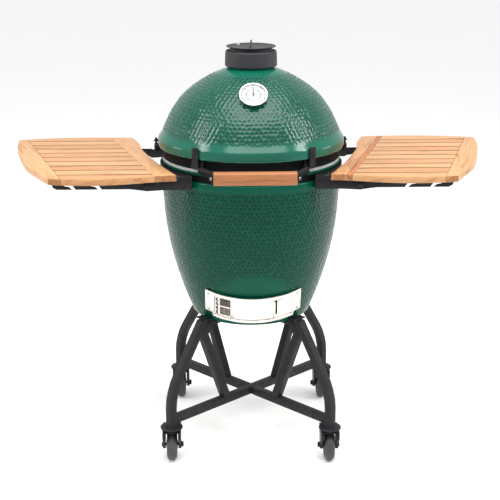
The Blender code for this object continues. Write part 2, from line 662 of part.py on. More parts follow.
def leg(corner, steel):
    """Outer leg: straight down from the saddle, bent upright over the caster, with its socket disc."""
    bend = [(0.2980, 0.2680), (0.3115, 0.2450), (0.3215, 0.2210), (0.3285, 0.1960), (LEG_REACH, 0.1700)]
    path = [(0.1900, 0.4292)] + bend + [(LEG_REACH, SOCKET_Z[0] + 0.002)]
    shape = slab(tube_outline(path, TUBE / 2), -TUBE / 2, TUBE / 2, diagonal(corner))
    item = finish(f"leg_{corner_name(corner)}", shape, steel, None, 0)
    cut(item, block((-0.4, -0.4, 0.4152), (0.4, 0.4, 0.46)))
    x, y = caster_place(corner)
    add(item, rod((x, y, SOCKET_Z[0]), (x, y, SOCKET_Z[1]), 0.033, 20))


def strut(corner, steel):
    """Inner strut, mitred against the leg, with the bent saddle plate that the egg stands on."""
    foot_z = RAIL_Z + TUBE / 2
    outline = [(0.1000, foot_z), (0.1259, foot_z), (0.2138, 0.3700), (0.1884, 0.4078), (0.1755, 0.4078),
               (0.1690, 0.4000), (0.1885, 0.3690)]
    item = finish(f"strut_{corner_name(corner)}", slab(outline, -TUBE / 2, TUBE / 2, diagonal(corner)),
                  steel, None, 0)
    saddle = [(0.120, 0.3975), (0.1715, 0.3975), (0.1840, 0.4155), (0.2060, 0.4155), (0.2060, 0.4200),
              (0.1832, 0.4200), (0.1715, 0.4055), (0.120, 0.4055)]
    add(item, slab(saddle, -0.022, 0.022, diagonal(corner)))


def rails(steel):
    reach = LEG_REACH - TUBE / 2 - GAP
    low, high = RAIL_Z - TUBE / 2, RAIL_Z + TUBE / 2 - GAP
    for name, corner, start in (("rail_long", (1, 1), -reach),
                                ("rail_half_left", (-1, 1), TUBE / 2 + GAP),
                                ("rail_half_right", (1, -1), TUBE / 2 + GAP)):
        outline = [(start, low), (reach, low), (reach, high), (start, high)]
        finish(name, slab(outline, -TUBE / 2, TUBE / 2, diagonal(corner)), steel, None, 0)


def caster_place(corner):
    angle = math.atan2(corner[1], corner[0]) + STAND_TURN
    return LEG_REACH * math.cos(angle), LEG_REACH * math.sin(angle)


def caster(corner, steel, rubber):
    name = corner_name(corner)
    x, y = caster_place(corner)
    swivel = axis_at(f"swivel_axis_{name}", (x, y, 0))
    axle_y = y + CASTER_TRAIL
    side = [(y - 0.0268, 0.1040), (y + 0.0272, 0.1040), (y + 0.0515, 0.1022), (y + 0.0515, 0.0900),
            (y + 0.041, 0.0740)]
    side += circle(0.013, 6, (axle_y, WHEEL_RADIUS), -0.2, 3.4 - 2 * math.pi)
    side += [(y - 0.012, 0.0640), (y - 0.028, 0.0800), (y - 0.030, 0.0960)]
    fork = finish(f"caster_fork_{name}", slab(side, x - 0.0270, x + 0.0270, along_x()), steel, swivel, 0)
    cut(fork, block((x - 0.0190, y - 0.08, -0.02), (x + 0.0190, y + 0.08, 0.1005)))
    add(fork, rod((x, y, 0.1030), (x, y, SOCKET_Z[0] - 0.0004), 0.025, 20))
    inward = -corner[0]
    add(fork, rod((x - 0.0230, axle_y, WHEEL_RADIUS), (x + 0.0230, axle_y, WHEEL_RADIUS), 0.0040))
    add(fork, rod((x + inward * 0.0250, axle_y, WHEEL_RADIUS), (x + inward * 0.0340, axle_y, WHEEL_RADIUS),
                  0.0080, 6))
    caster_wheel(name, (x, axle_y), rubber, swivel)
    if corner[1] < 0:
        brake_lever(name, (x, y), steel)


def caster_wheel(name, place, rubber, swivel):
    """Round-edged tyre, standing on a facet."""
    full = WHEEL_RADIUS / math.cos(math.pi / WHEEL_FACETS)
    half = WHEEL_WIDTH / 2
    profile = [(0.0045, -half - 0.002), (0.0130, -half - 0.002), (full - 0.010, -half),
               (full, -half + 0.008), (full, half - 0.008), (full - 0.010, half),
               (0.0130, half + 0.002), (0.0045, half + 0.002)]
    turn = Matrix.Translation((place[0], place[1], WHEEL_RADIUS)) @ Matrix.Rotation(math.pi / 2, 4, "Y")
    shape = turned(profile, WHEEL_FACETS, math.pi / WHEEL_FACETS, turn)
    finish(f"caster_wheel_{name}", shape, rubber, swivel)


def brake_lever(name, place, steel):
    """Foot lever behind the wheel, carried between the fork's side plates."""
    x, y = place
    pivot = axis_at(f"brake_axis_{name}", (x, y + BRAKE_PIVOT[0], BRAKE_PIVOT[1]))
    hub = rod((x - 0.0186, y + BRAKE_PIVOT[0], BRAKE_PIVOT[1]),
              (x + 0.0186, y + BRAKE_PIVOT[0], BRAKE_PIVOT[1]), 0.0040, 8)
    item = finish(f"brake_lever_{name}", hub, steel, pivot, 0)
    outline = [(y + 0.0450, 0.0935), (y + 0.0700, 0.0868), (y + 0.0712, 0.0898), (y + 0.0480, 0.0980)]
    add(item, slab(outline, x - 0.0150, x + 0.0150, along_x()))


def main():
    clear_scene()
    black = paint("bracket_black", (0.013, 0.013, 0.015), 0.45, 0.4)
    stand_steel = paint("powder_coat", (0.038, 0.038, 0.042), 0.55, 0.3)
    rubber = paint("rubber", (0.03, 0.03, 0.032), 0.7)
    lid = axis_at("lid_axis", (0, HINGE_Y, HINGE_Z))
    base_shell()
    dome_shell(lid)
    gaskets(lid)
    bands(lid, black)
    firebox()
    grates()
    lid_hinge(lid, black)
    handle_grip(lid)
    handle_arm("handle_arm_left", -1, lid, black)
    handle_arm("handle_arm_right", 1, lid, black)
    vent_disc(vent_cap())
    thermometer(lid)
    draft_assembly()
    shelves(black)
    rails(stand_steel)
    for corner in ((-1, -1), (1, -1), (-1, 1), (1, 1)):
        leg(corner, stand_steel)
        strut(corner, stand_steel)
        caster(corner, black, rubber)


main()
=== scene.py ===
"""The looks of a kamado ceramic grill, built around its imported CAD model.

Metres, +Z up, the front faces -Y, as in the CAD model.
"""

import json
import math

import bmesh
import bpy
import numpy as np
from mathutils import Matrix, Vector


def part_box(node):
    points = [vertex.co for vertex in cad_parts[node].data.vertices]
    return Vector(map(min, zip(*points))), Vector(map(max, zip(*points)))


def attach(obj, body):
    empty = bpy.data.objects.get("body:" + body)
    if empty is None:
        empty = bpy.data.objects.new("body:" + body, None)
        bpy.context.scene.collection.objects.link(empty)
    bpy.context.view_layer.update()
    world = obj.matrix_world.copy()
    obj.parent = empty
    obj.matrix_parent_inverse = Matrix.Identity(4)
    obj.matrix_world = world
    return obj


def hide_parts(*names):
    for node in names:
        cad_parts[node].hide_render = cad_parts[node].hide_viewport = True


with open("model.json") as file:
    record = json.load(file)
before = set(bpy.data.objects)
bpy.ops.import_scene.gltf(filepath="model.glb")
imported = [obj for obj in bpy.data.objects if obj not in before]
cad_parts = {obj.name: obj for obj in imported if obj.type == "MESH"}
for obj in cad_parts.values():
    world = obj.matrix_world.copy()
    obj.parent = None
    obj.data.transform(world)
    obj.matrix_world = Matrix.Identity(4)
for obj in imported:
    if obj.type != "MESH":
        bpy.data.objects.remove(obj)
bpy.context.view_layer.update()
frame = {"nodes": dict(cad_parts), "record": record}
RECORD = frame["record"]
NODE_BODY = {node: body for body, nodes in RECORD["behaviour"]["bodies"].items() for node in nodes}
CORNERS = ("front_left", "front_right", "rear_left", "rear_right")

# Ceramic outlines, as (radius, height)
DOME_CURVE = ((0.2615, 0.9575), (0.249, 0.986), (0.232, 1.019), (0.2045, 1.057),
              (0.1735, 1.085), (0.129, 1.114), (0.096, 1.130))
BASE_CURVE = ((0.2640, 0.8290), (0.2618, 0.783), (0.2555, 0.700), (0.2440, 0.625),
              (0.2250, 0.547), (0.1995, 0.469), (0.1775, 0.415))
WALL = 0.024
DIMPLE_PITCH = 0.0132
DIMPLE_DEPTH = 0.0015

# Right shelf seen from above, as (x, y)
SHELF_FRONT = ((0.216, -0.222), (0.275, -0.232), (0.360, -0.256), (0.440, -0.268),
               (0.530, -0.262), (0.567, -0.254))
SHELF_OUTER = ((0.567, -0.254), (0.612, -0.165), (0.652, -0.075), (0.692, 0.075),
               (0.714, 0.175), (0.7265, 0.285))
SHELF_BACK = ((0.7265, 0.285), (0.640, 0.307), (0.545, 0.318), (0.450, 0.318), (0.367, 0.310))
SHELF_INNER = ((0.367, 0.310), (0.341, 0.214), (0.328, 0.122), (0.292, -0.005),
               (0.262, -0.100), (0.216, -0.222))
INNER_SEAM = ((0.437, 0.318), (0.274, -0.234))
OUTER_SEAM = ((0.700, 0.293), (0.531, -0.262))
SLATS = 10
GROOVE = 0.0062

# Thermometer; the dial's sweep is in degrees
GAUGE_FOOT = Vector((0.0, -0.1788, 1.0817))
GAUGE_TILT = math.radians(49)
DIAL_START = 225
DIAL_SWEEP = 270
DIAL_TICKS = 60
DIAL_FIGURES = 6
PRINT = 0.0001

# Draft door: its sheets lie on a leaning cylinder
DRAFT_LEAN = math.radians(18)
DRAFT_RADIUS = 0.2020
DRAFT_FRONT = Vector((0.0, -0.2070, 0.4675))

# Cooking grid: bars on each side of the middle one
GRID_BARS = 13
GRID_PITCH = 0.0162

# Hinge, vent and casters
HINGE = Vector((0.0, 0.330, 0.868))
SPRING_TURNS = 5
SPRING_STEPS = 160
VENT_PIVOT = Vector((-0.036, 0.036, 0.0))
DISC_Z = 1.1985
WHEEL_RADIUS = 0.048
CASTER_TRAIL = 0.014

# Turns a flat outline's (x, y) into (y, z), so that it is drawn out along X
ALONG_X = Matrix(((0, 0, 1, 0), (1, 0, 0, 0), (0, 1, 0, 0), (0, 0, 0, 1)))


# ------------------------------------------------------------ mesh helpers

def joined(*shapes):
    """Puts several bmeshes into one."""
    result = bmesh.new()
    for shape in shapes:
        spare = bpy.data.meshes.new("spare")
        shape.to_mesh(spare)
        shape.free()
        result.from_mesh(spare)
        bpy.data.meshes.remove(spare)
    return result


def show(name, shape, materials, body, nodes=(), smooth=35):
    """Makes a visible piece from a bmesh in row coordinates."""
    mesh = bpy.data.meshes.new(name)
    shape.to_mesh(mesh)
    shape.free()
    return show_mesh(name, mesh, materials, body, nodes, smooth)


def show_mesh(name, mesh, materials, body, nodes=(), smooth=35):
    """Gives a mesh its materials and its body, and hides the CAD nodes it replaces."""
    if not isinstance(materials, (list, tuple)):
        materials = [materials]
    for material in materials:
        mesh.materials.append(material)
    mesh.shade_smooth()
    mesh.set_sharp_from_angle(angle=math.radians(smooth))
    piece = bpy.data.objects.new(name, mesh)
    bpy.context.scene.collection.objects.link(piece)
    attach(piece, body)
    if nodes:
        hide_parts(*nodes)
    return piece


def lathe(profile, columns=96, matrix=None):
    """Revolves a closed (radius, height) outline about Z. Radius 0 makes a pole."""
    shape = bmesh.new()
    rings = []
    for radius, height in profile:
        if radius == 0:
            rings.append([shape.verts.new((0, 0, height))])
            continue
        angles = [2 * math.pi * i / columns for i in range(columns)]
        places = [(radius * math.cos(a), radius * math.sin(a), height) for a in angles]
        rings.append([shape.verts.new(place) for place in places])
    for ring, following in zip(rings, rings[1:] + rings[:1]):
        bridge(shape, ring, following, columns)
    bmesh.ops.recalc_face_normals(shape, faces=shape.faces)
    if matrix:
        bmesh.ops.transform(shape, matrix=matrix, verts=shape.verts)
    return shape


def bridge(shape, ring, following, columns):
    if len(ring) == 1 and len(following) == 1:
        return
    for i in range(columns):
        j = (i + 1) % columns
        if len(ring) == 1:
            shape.faces.new((ring[0], following[i], following[j]))
        elif len(following) == 1:
            shape.faces.new((ring[i], ring[j], following[0]))
        else:
            shape.faces.new((ring[i], ring[j], following[j], following[i]))


def prism(outline, low, high, matrix=None):
    shape = bmesh.new()
    under = [shape.verts.new((x, y, low)) for x, y in outline]
    over = [shape.verts.new((x, y, high)) for x, y in outline]
    shape.faces.new(reversed(under))
    shape.faces.new(over)
    for i in range(len(outline)):
        j = (i + 1) % len(outline)
        shape.faces.new((under[i], under[j], over[j], over[i]))
    bmesh.ops.recalc_face_normals(shape, faces=shape.faces)
    if matrix:
        bmesh.ops.transform(shape, matrix=matrix, verts=shape.verts)
    return shape


def block(low, high, matrix=None):
    outline = ((low[0], low[1]), (high[0], low[1]), (high[0], high[1]), (low[0], high[1]))
    return prism(outline, low[2], high[2], matrix)


def rounded(shape, width, segments=2, angle=30):
    """Rounds every edge sharper than the angle."""
    sharp = [e for e in shape.edges if e.is_manifold and e.calc_face_angle(0) > math.radians(angle)]
    bmesh.ops.bevel(shape, geom=sharp, offset=width, offset_type="OFFSET", segments=segments,
                    profile=0.5, affect="EDGES", clamp_overlap=True)
    return shape


def fillet(points, radius, steps=4):
    """Rounds the inner corners of an open (radius, height) outline."""
    result = [tuple(points[0])]
    for before, here, after in zip(points, points[1:], points[2:]):
        corner = Vector(here)
        back = Vector(before) - corner
        ahead = Vector(after) - corner
        reach = min(radius, 0.45 * back.length, 0.45 * ahead.length)
        start = corner + back.normalized() * reach
        end = corner + ahead.normalized() * reach
        for i in range(steps + 1):
            t = i / steps
            point = (1 - t) ** 2 * start + 2 * t * (1 - t) * corner + t * t * end
            result.append(tuple(point))
    return result + [tuple(points[-1])]


def curve_through(points, steps):
    """A Catmull-Rom curve through the points, both ends kept."""
    known = [Vector(p) for p in points]
    known = [2 * known[0] - known[1]] + known + [2 * known[-1] - known[-2]]
    result = []
    for i in range(1, len(known) - 2):
        before, here, there, after = known[i - 1:i + 3]
        for step in range(steps):
            t = step / steps
            point = 0.5 * (2 * here + (there - before) * t
                           + (2 * before - 5 * here + 4 * there - after) * t * t
                           + (3 * here - before - 3 * there + after) * t ** 3)
            result.append(tuple(point))
    return result + [tuple(known[-2])]


def resampled(points, spacing):
    """The same curve with evenly spaced points."""
    known = np.array(points)
    lengths = np.concatenate([[0], np.cumsum(np.hypot(*np.diff(known, axis=0).T))])
    count = max(2, round(lengths[-1] / spacing) + 1)
    places = np.linspace(0, lengths[-1], count)
    return [tuple(row) for row in np.stack([np.interp(places, lengths, known[:, k]) for k in (0, 1)], 1)]


def facing(place, direction, up=(0, 0, 1)):
    """A frame at a place with its local Z along the direction."""
    along = Vector(direction).normalized()
    side = Vector(up).cross(along)
    if side.length < 1e-4:
        side = Vector((1, 0, 0)).cross(along)
    side.normalize()
    turn = Matrix((side, along.cross(side), along)).transposed().to_4x4()
    return Matrix.Translation(place) @ turn


def tube(points, radius, sides=10):
    """A round bar along a path, with flat ends."""
    path = [Vector(p) for p in points]
    shape = bmesh.new()
    rings = []
    across = None
    for i, point in enumerate(path):
        along = (path[min(i + 1, len(path) - 1)] - path[max(i - 1, 0)]).normalized()
        if across is None:
            across = along.orthogonal().normalized()
        across = (across - along * across.dot(along)).normalized()
        other = along.cross(across)
        angles = [2 * math.pi * k / sides for k in range(sides)]
        rings.append([shape.verts.new(point + radius * (math.cos(a) * across + math.sin(a) * other))
                      for a in angles])
    for ring, following in zip(rings, rings[1:]):
        bridge(shape, ring, following, sides)
    shape.faces.new(rings[0])
    shape.faces.new(rings[-1])
    bmesh.ops.recalc_face_normals(shape, faces=shape.faces)
    return shape


def bolt(place, direction, size=0.0055, height=0.004, sides=6):
    """A hexagon head on a washer, or a domed head when sides is high."""
    matrix = facing(place, direction)
    washer = lathe([(0, 0), (size * 1.45, 0), (size * 1.45, 0.0007), (size * 1.35, 0.0011), (0, 0.0011)],
                   24, matrix)
    if sides == 6:
        head = [(0, 0.001), (size * 1.08, 0.001), (size * 1.08, height * 0.85), (size * 0.93, height),
                (0, height)]
    else:
        head = [(0, 0.001), (size * 1.1, 0.001), (size, height * 0.5), (size * 0.7, height * 0.85),
                (size * 0.35, height), (0, height)]
    return joined(washer, lathe(head, sides, matrix))


def softened(node, material, width, segments=2, name=None):
    """The CAD node's own shape with its edges rounded, as pressed or cast metal has them."""
    shape = bmesh.new()
    shape.from_mesh(frame["nodes"][node].data)
    bmesh.ops.remove_doubles(shape, verts=shape.verts, dist=1e-5)
    bmesh.ops.dissolve_limit(shape, angle_limit=math.radians(1.0), verts=shape.verts, edges=shape.edges)
    rounded(shape, width, segments)
    return show(name or f"{node}_finish", shape, material, NODE_BODY[node], (node,))


# ------------------------------------------------------------ materials

class Surface:
    """One procedural material around a Principled shader."""

    def __init__(self, name, colour, roughness, metallic=0.0):
        self.material = bpy.data.materials.new(name)
        self.material.use_nodes = True
        self.tree = self.material.node_tree
        self.shader = self.tree.nodes["Principled BSDF"]
        self.shader.inputs["Metallic"].default_value = metallic
        self.colour = colour
        self.roughness = roughness
        self.coordinates = self.node("ShaderNodeTexCoord").outputs["Object"]
        self.normal = None

    def node(self, kind):
        return self.tree.nodes.new(kind)

    def link(self, source, target):
        self.tree.links.new(source, target)

    def attribute(self, name, output="Fac"):
        node = self.node("ShaderNodeAttribute")
        node.attribute_name = name
        return node.outputs[output]

    def stretched(self, scale, source=None):
        node = self.node("ShaderNodeMapping")
        node.inputs["Scale"].default_value = scale
        self.link(source or self.coordinates, node.inputs["Vector"])
        return node.outputs["Vector"]

    def noise(self, scale, detail=3.0, roughness=0.5, vector=None, distortion=0.0):
        node = self.node("ShaderNodeTexNoise")
        node.inputs["Scale"].default_value = scale
        node.inputs["Detail"].default_value = detail
        node.inputs["Roughness"].default_value = roughness
        node.inputs["Distortion"].default_value = distortion
        self.link(vector or self.coordinates, node.inputs["Vector"])
        return node.outputs["Fac"]

    def ramp(self, source, stops):
        """Stops are (position, value or colour)."""
        node = self.node("ShaderNodeValToRGB")
        ramp = node.color_ramp
        while len(ramp.elements) < len(stops):
            ramp.elements.new(0.5)
        for element, (position, value) in zip(ramp.elements, stops):
            element.position = position
            colour = value if isinstance(value, (list, tuple)) else (value, value, value)
            element.color = (*colour, 1.0)
        self.link(source, node.inputs["Fac"])
        return node.outputs["Color"]

    def mix(self, factor, first, second, blend="MIX"):
        node = self.node("ShaderNodeMix")
        node.data_type = "RGBA"
        node.blend_type = blend
        for value, index in ((factor, 0), (first, 6), (second, 7)):
            if isinstance(value, bpy.types.NodeSocket):
                self.link(value, node.inputs[index])
            elif index == 0:
                node.inputs[index].default_value = value
            else:
                node.inputs[index].default_value = (*value, 1.0)
        return node.outputs[2]

    def bump(self, height, strength, distance):
        node = self.node("ShaderNodeBump")
        node.inputs["Strength"].default_value = strength
        node.inputs["Distance"].default_value = distance
        self.link(height, node.inputs["Height"])
        if self.normal:
            self.link(self.normal, node.inputs["Normal"])
        self.normal = node.outputs["Normal"]

    def worn_edges(self, colour, worn, amount=0.5, low=0.52, high=0.60):
        """Lighter metal or wood where corners stand proud, broken up by noise."""
        geometry = self.node("ShaderNodeNewGeometry")
        proud = self.ramp(geometry.outputs["Pointiness"], ((low, 0.0), (high, 1.0)))
        patchy = self.ramp(self.noise(90, 4, 0.6), ((0.42, 0.0), (0.62, amount)))
        return self.mix(self.mix(1.0, proud, patchy, "MULTIPLY"), colour, worn)

    def finish(self, colour=None, roughness=None, **sockets):
        shader = self.shader
        chosen = {"Base Color": colour or self.colour, "Roughness": roughness or self.roughness}
        for socket, value in chosen.items():
            if isinstance(value, bpy.types.NodeSocket):
                self.link(value, shader.inputs[socket])
            elif socket == "Base Color":
                shader.inputs[socket].default_value = (*value, 1.0)
            else:
                shader.inputs[socket].default_value = value
        if self.normal:
            self.link(self.normal, shader.inputs["Normal"])
        for socket, value in sockets.items():
            shader.inputs[socket.replace("_", " ")].default_value = value
        return self.material


def glaze(name, thin, thick, pool_and_shade, gloss):
    """Deep green glass glaze, darker in the dimples: partly glaze pooling there, partly painted shade in the
    hollows.
    """
    s = Surface(name, thick, 0.2)
    drift = s.ramp(s.noise(6, 3), ((0.3, thick), (0.7, thin)))
    # The pit attribute darkens each dimple: real glaze pooling, plus painted shade where the hollows fall
    # dark.
    pooled_and_shaded = s.mix(s.attribute("pit"), drift, pool_and_shade)
    fleck = s.ramp(s.noise(420, 2, 0.6), ((0.66, 0.0), (0.74, 0.35)))
    colour = s.mix(fleck, pooled_and_shaded, (0.001, 0.035, 0.020))
    s.bump(s.noise(95, 3, 0.45), 0.10, 0.0010)
    roughness = s.ramp(s.noise(14, 4, 0.6), ((0.3, 0.10), (0.75, 0.18)))
    return s.finish(colour, roughness, Specular_IOR_Level=gloss)


def fire_clay(name="fire_clay", light=(0.56, 0.50, 0.41), dark=(0.38, 0.33, 0.27)):
    s = Surface(name, light, 0.9)
    cloud = s.ramp(s.noise(9, 5, 0.6), ((0.3, dark), (0.7, light)))
    grit = s.ramp(s.noise(520, 2, 0.7), ((0.58, 0.0), (0.70, 0.6)))
    colour = s.mix(grit, cloud, (0.24, 0.20, 0.16))
    s.bump(s.noise(260, 5, 0.65), 0.5, 0.0012)
    return s.finish(colour, s.ramp(s.noise(60, 3), ((0.3, 0.82), (0.7, 0.97))))


def felt():
    s = Surface("gasket_felt", (0.40, 0.41, 0.40), 0.95)
    fibre = s.noise(900, 4, 0.7, distortion=1.2)
    colour = s.ramp(fibre, ((0.3, (0.22, 0.23, 0.23)), (0.7, (0.50, 0.51, 0.50))))
    s.bump(fibre, 0.7, 0.0008)
    return s.finish(colour, s.ramp(s.noise(300, 3), ((0.3, 0.88), (0.7, 1.0))), Sheen_Weight=0.4)


def coated_metal(name, colour, roughness, grain=700, bump=0.25, worn=(0.10, 0.10, 0.105), amount=0.4,
                 gloss=0.22):
    """Powder coat with a fine orange peel, rubbed lighter on its corners."""
    s = Surface(name, colour, roughness)
    lighter = tuple(1.35 * c for c in colour)
    cloud = s.ramp(s.noise(11, 4, 0.6), ((0.3, colour), (0.7, lighter)))
    speckle = s.ramp(s.noise(grain, 2, 0.6), ((0.55, 0.0), (0.75, 0.25)))
    broken = s.mix(speckle, cloud, tuple(2.2 * c for c in colour))
    s.bump(s.noise(grain, 3, 0.55), bump, 0.0004)
    spread = s.ramp(s.noise(35, 4, 0.6), ((0.3, roughness - 0.07), (0.7, roughness + 0.08)))
    return s.finish(s.worn_edges(broken, worn, amount), spread, Specular_IOR_Level=gloss)


def bare_metal(name, colour, roughness, brushed=(8, 500, 500), bump=0.08):
    """Bright metal with brushing along X and faint smears."""
    s = Surface(name, colour, roughness, 1.0)
    strokes = s.noise(1.0, 3, 0.6, s.stretched(brushed))
    darker = tuple(0.86 * c for c in colour)
    tone = s.ramp(strokes, ((0.3, darker), (0.7, colour)))
    smear = s.ramp(s.noise(22, 4, 0.6), ((0.35, 0.0), (0.75, 0.25)))
    s.bump(strokes, bump, 0.0003)
    spread = s.ramp(strokes, ((0.3, roughness - 0.05), (0.7, roughness + 0.09)))
    return s.finish(s.mix(smear, tone, tuple(0.75 * c for c in colour)), spread)


def cast_iron():
    s = Surface("cast_iron", (0.035, 0.034, 0.033), 0.7, 0.4)
    colour = s.ramp(s.noise(30, 5, 0.6), ((0.3, (0.022, 0.021, 0.020)), (0.7, (0.055, 0.050, 0.046))))
    s.bump(s.noise(380, 5, 0.6), 0.6, 0.0010)
    worn = s.worn_edges(colour, (0.14, 0.12, 0.11))
    return s.finish(worn, s.ramp(s.noise(80, 3), ((0.3, 0.6), (0.7, 0.8))))


def wood(name, light, mid, dark, end=False):
    """Oiled hardwood. The grain attribute holds (along, across, up) for each board."""
    s = Surface(name, light, 0.45)
    grain = s.attribute("grain", "Vector")
    tone = s.attribute("tone")
    long = s.stretched((2.2, 26, 26), grain)
    wave = s.noise(1.6, 4, 0.55, long, 1.4)
    rings = s.ramp(wave, ((0.22, dark), (0.36, mid), (0.52, light), (0.74, mid)))
    fibres = s.noise(1.0, 3, 0.6, s.stretched((14, 620, 620), grain))
    streak = s.ramp(fibres, ((0.50, 0.0), (0.72, 0.55)))
    colour = s.mix(streak, rings, mid)
    pores = s.ramp(s.noise(1.0, 2, 0.6, s.stretched((45, 900, 900), grain)), ((0.66, 0.0), (0.74, 0.6)))
    colour = s.mix(pores, colour, dark)
    redder = s.mix(1.0, colour, (0.74, 0.44, 0.30), "MULTIPLY")
    colour = s.mix(tone, colour, redder)
    if end:
        colour = s.mix(1.0, colour, (0.62, 0.46, 0.36), "MULTIPLY")
    colour = s.worn_edges(colour, light, 0.5)
    s.bump(fibres, 0.22, 0.0004)
    s.bump(pores, -0.3, 0.0004)
    roughness = s.ramp(fibres, ((0.3, 0.38), (0.7, 0.54)))
    return s.finish(colour, roughness, Specular_IOR_Level=0.4)


def rubber():
    s = Surface("wheel_rubber", (0.035, 0.035, 0.037), 0.6)
    dust = s.ramp(s.noise(45, 5, 0.65), ((0.45, 0.0), (0.75, 0.5)))
    colour = s.mix(dust, (0.026, 0.026, 0.028), (0.075, 0.072, 0.070))
    s.bump(s.noise(420, 3, 0.6), 0.25, 0.0005)
    return s.finish(colour, s.ramp(s.noise(60, 4), ((0.3, 0.5), (0.7, 0.72))))


def dial_white():
    s = Surface("dial_face", (0.47, 0.47, 0.46), 0.45)
    colour = s.ramp(s.noise(140, 4), ((0.3, (0.44, 0.44, 0.43)), (0.7, (0.50, 0.50, 0.49))))
    s.bump(s.noise(700, 2), 0.05, 0.0002)
    return s.finish(colour, s.ramp(s.noise(90, 3), ((0.3, 0.38), (0.7, 0.52))))


def gauge_glass():
    s = Surface("gauge_glass", (0.97, 0.99, 0.99), 0.02)
    s.bump(s.noise(40, 2), 0.02, 0.0004)
    smudge = s.ramp(s.noise(70, 4, 0.6), ((0.4, 0.01), (0.8, 0.07)))
    return s.finish((0.97, 0.99, 0.99), smudge, Transmission_Weight=1.0, IOR=1.25)


# Two copies of one glaze: the dome's is lighter as painted light from above, the base's darker and less
# glossy as painted shade.
LIT_DOME_GLAZE = glaze("green_glaze_dome_lit", (0.003, 0.090, 0.058), (0.002, 0.072, 0.044), (0.0, 0.030, 0.018),
                   0.34)
SHADED_BASE_GLAZE = glaze("green_glaze_base_shaded", (0.001, 0.070, 0.042), (0.001, 0.056, 0.032), (0.0, 0.024, 0.014),
                   0.12)
CLAY = fire_clay()
RAW = fire_clay("raw_ceramic", (0.62, 0.56, 0.47), (0.47, 0.42, 0.34))
FELT = felt()
BLACK = coated_metal("satin_black", (0.0025, 0.0025, 0.0030), 0.38, 600, 0.15, (0.04, 0.04, 0.042))
BAND = coated_metal("band_black", (0.0025, 0.0025, 0.0030), 0.62, 600, 0.2, (0.03, 0.03, 0.032), 0.4, 0.06)
FRAME_COAT = coated_metal("frame_powder_coat", (0.011, 0.011, 0.013), 0.50, 520, 0.35, (0.06, 0.06, 0.063),
                          0.4, 0.16)
CAST_CAP = coated_metal("cap_coat", (0.020, 0.0195, 0.023), 0.50, 430, 0.5, (0.09, 0.088, 0.092))
INK = coated_metal("dial_ink", (0.016, 0.016, 0.018), 0.45, 900, 0.05, (0.03, 0.03, 0.03), 0.1)
STEEL = bare_metal("draft_stainless", (0.80, 0.76, 0.70), 0.27)
BEZEL = bare_metal("bezel_chrome", (0.80, 0.79, 0.78), 0.14, (60, 60, 900), 0.04)
ZINC = bare_metal("zinc_bolt", (0.52, 0.52, 0.53), 0.34, (300, 300, 300), 0.15)
GRID_STEEL = bare_metal("grid_steel", (0.62, 0.60, 0.57), 0.25, (20, 700, 700), 0.1)
WIRE = bare_metal("screen_wire", (0.10, 0.092, 0.08), 0.5, (300, 300, 300), 0.1)
SPRING = bare_metal("spring_wire", (0.16, 0.16, 0.17), 0.38, (400, 400, 400), 0.1)
IRON = cast_iron()
SHELF_WOOD = wood("shelf_wood", (0.49, 0.278, 0.128), (0.36, 0.180, 0.074), (0.19, 0.078, 0.027))
SHELF_END = wood("shelf_end_grain", (0.49, 0.278, 0.128), (0.36, 0.180, 0.074), (0.19, 0.078, 0.027), True)
# Dark brown wood used as painted shade in the grooves between the slats.
GROOVE_SHADE_WOOD = wood("groove_painted_shade", (0.13, 0.060, 0.025), (0.085, 0.038, 0.016), (0.035, 0.015, 0.006))
GRIP_WOOD = wood("grip_wood", (0.35, 0.140, 0.050), (0.22, 0.080, 0.027), (0.07, 0.023, 0.008))
RUBBER = rubber()
DIAL = dial_white()
GLASS = gauge_glass()


# ------------------------------------------------------------ ceramic

def scatter(row, index, seed):
    """A repeatable number from -0.5 to 0.5 for each dimple."""
    value = np.sin(row * 12.9898 + index * 78.233 + seed * 37.719) * 43758.5453
    return value - np.floor(value) - 0.5


def dimple_field(radius, arc, angles, pitch):
    """How deep the dimple pattern is, 0 to 1, for each row and column of the shell."""
    row_pitch = 0.87 * pitch
    field = np.zeros((len(radius), len(angles)))
    for step in (0, 1):
        row = np.floor(arc / row_pitch) + step
        ring_radius = np.interp(row * row_pitch, arc, radius)
        count = np.round(2 * np.pi * ring_radius / pitch)
        place = angles[None, :] / (2 * np.pi) * count[:, None] + 0.5 * (row % 2)[:, None]
        index = np.round(place)
        wrapped = np.mod(index, count[:, None])
        sideways = place - index - 0.26 * scatter(row[:, None], wrapped, 1)
        across = sideways * 2 * np.pi * radius[:, None] / count[:, None]
        along = (arc - row * row_pitch)[:, None] - 0.26 * pitch * scatter(row[:, None], wrapped, 2)
        size = pitch * (0.59 + 0.10 * scatter(row[:, None], wrapped, 3))
        near = np.clip(1 - (across ** 2 + along ** 2) / size ** 2, 0, 1)
        field = np.maximum(field, near ** 1.3)
    return field


def smoothstep(low, high, value):
    t = np.clip((value - low) / (high - low), 0, 1)
    return t * t * (3 - 2 * t)


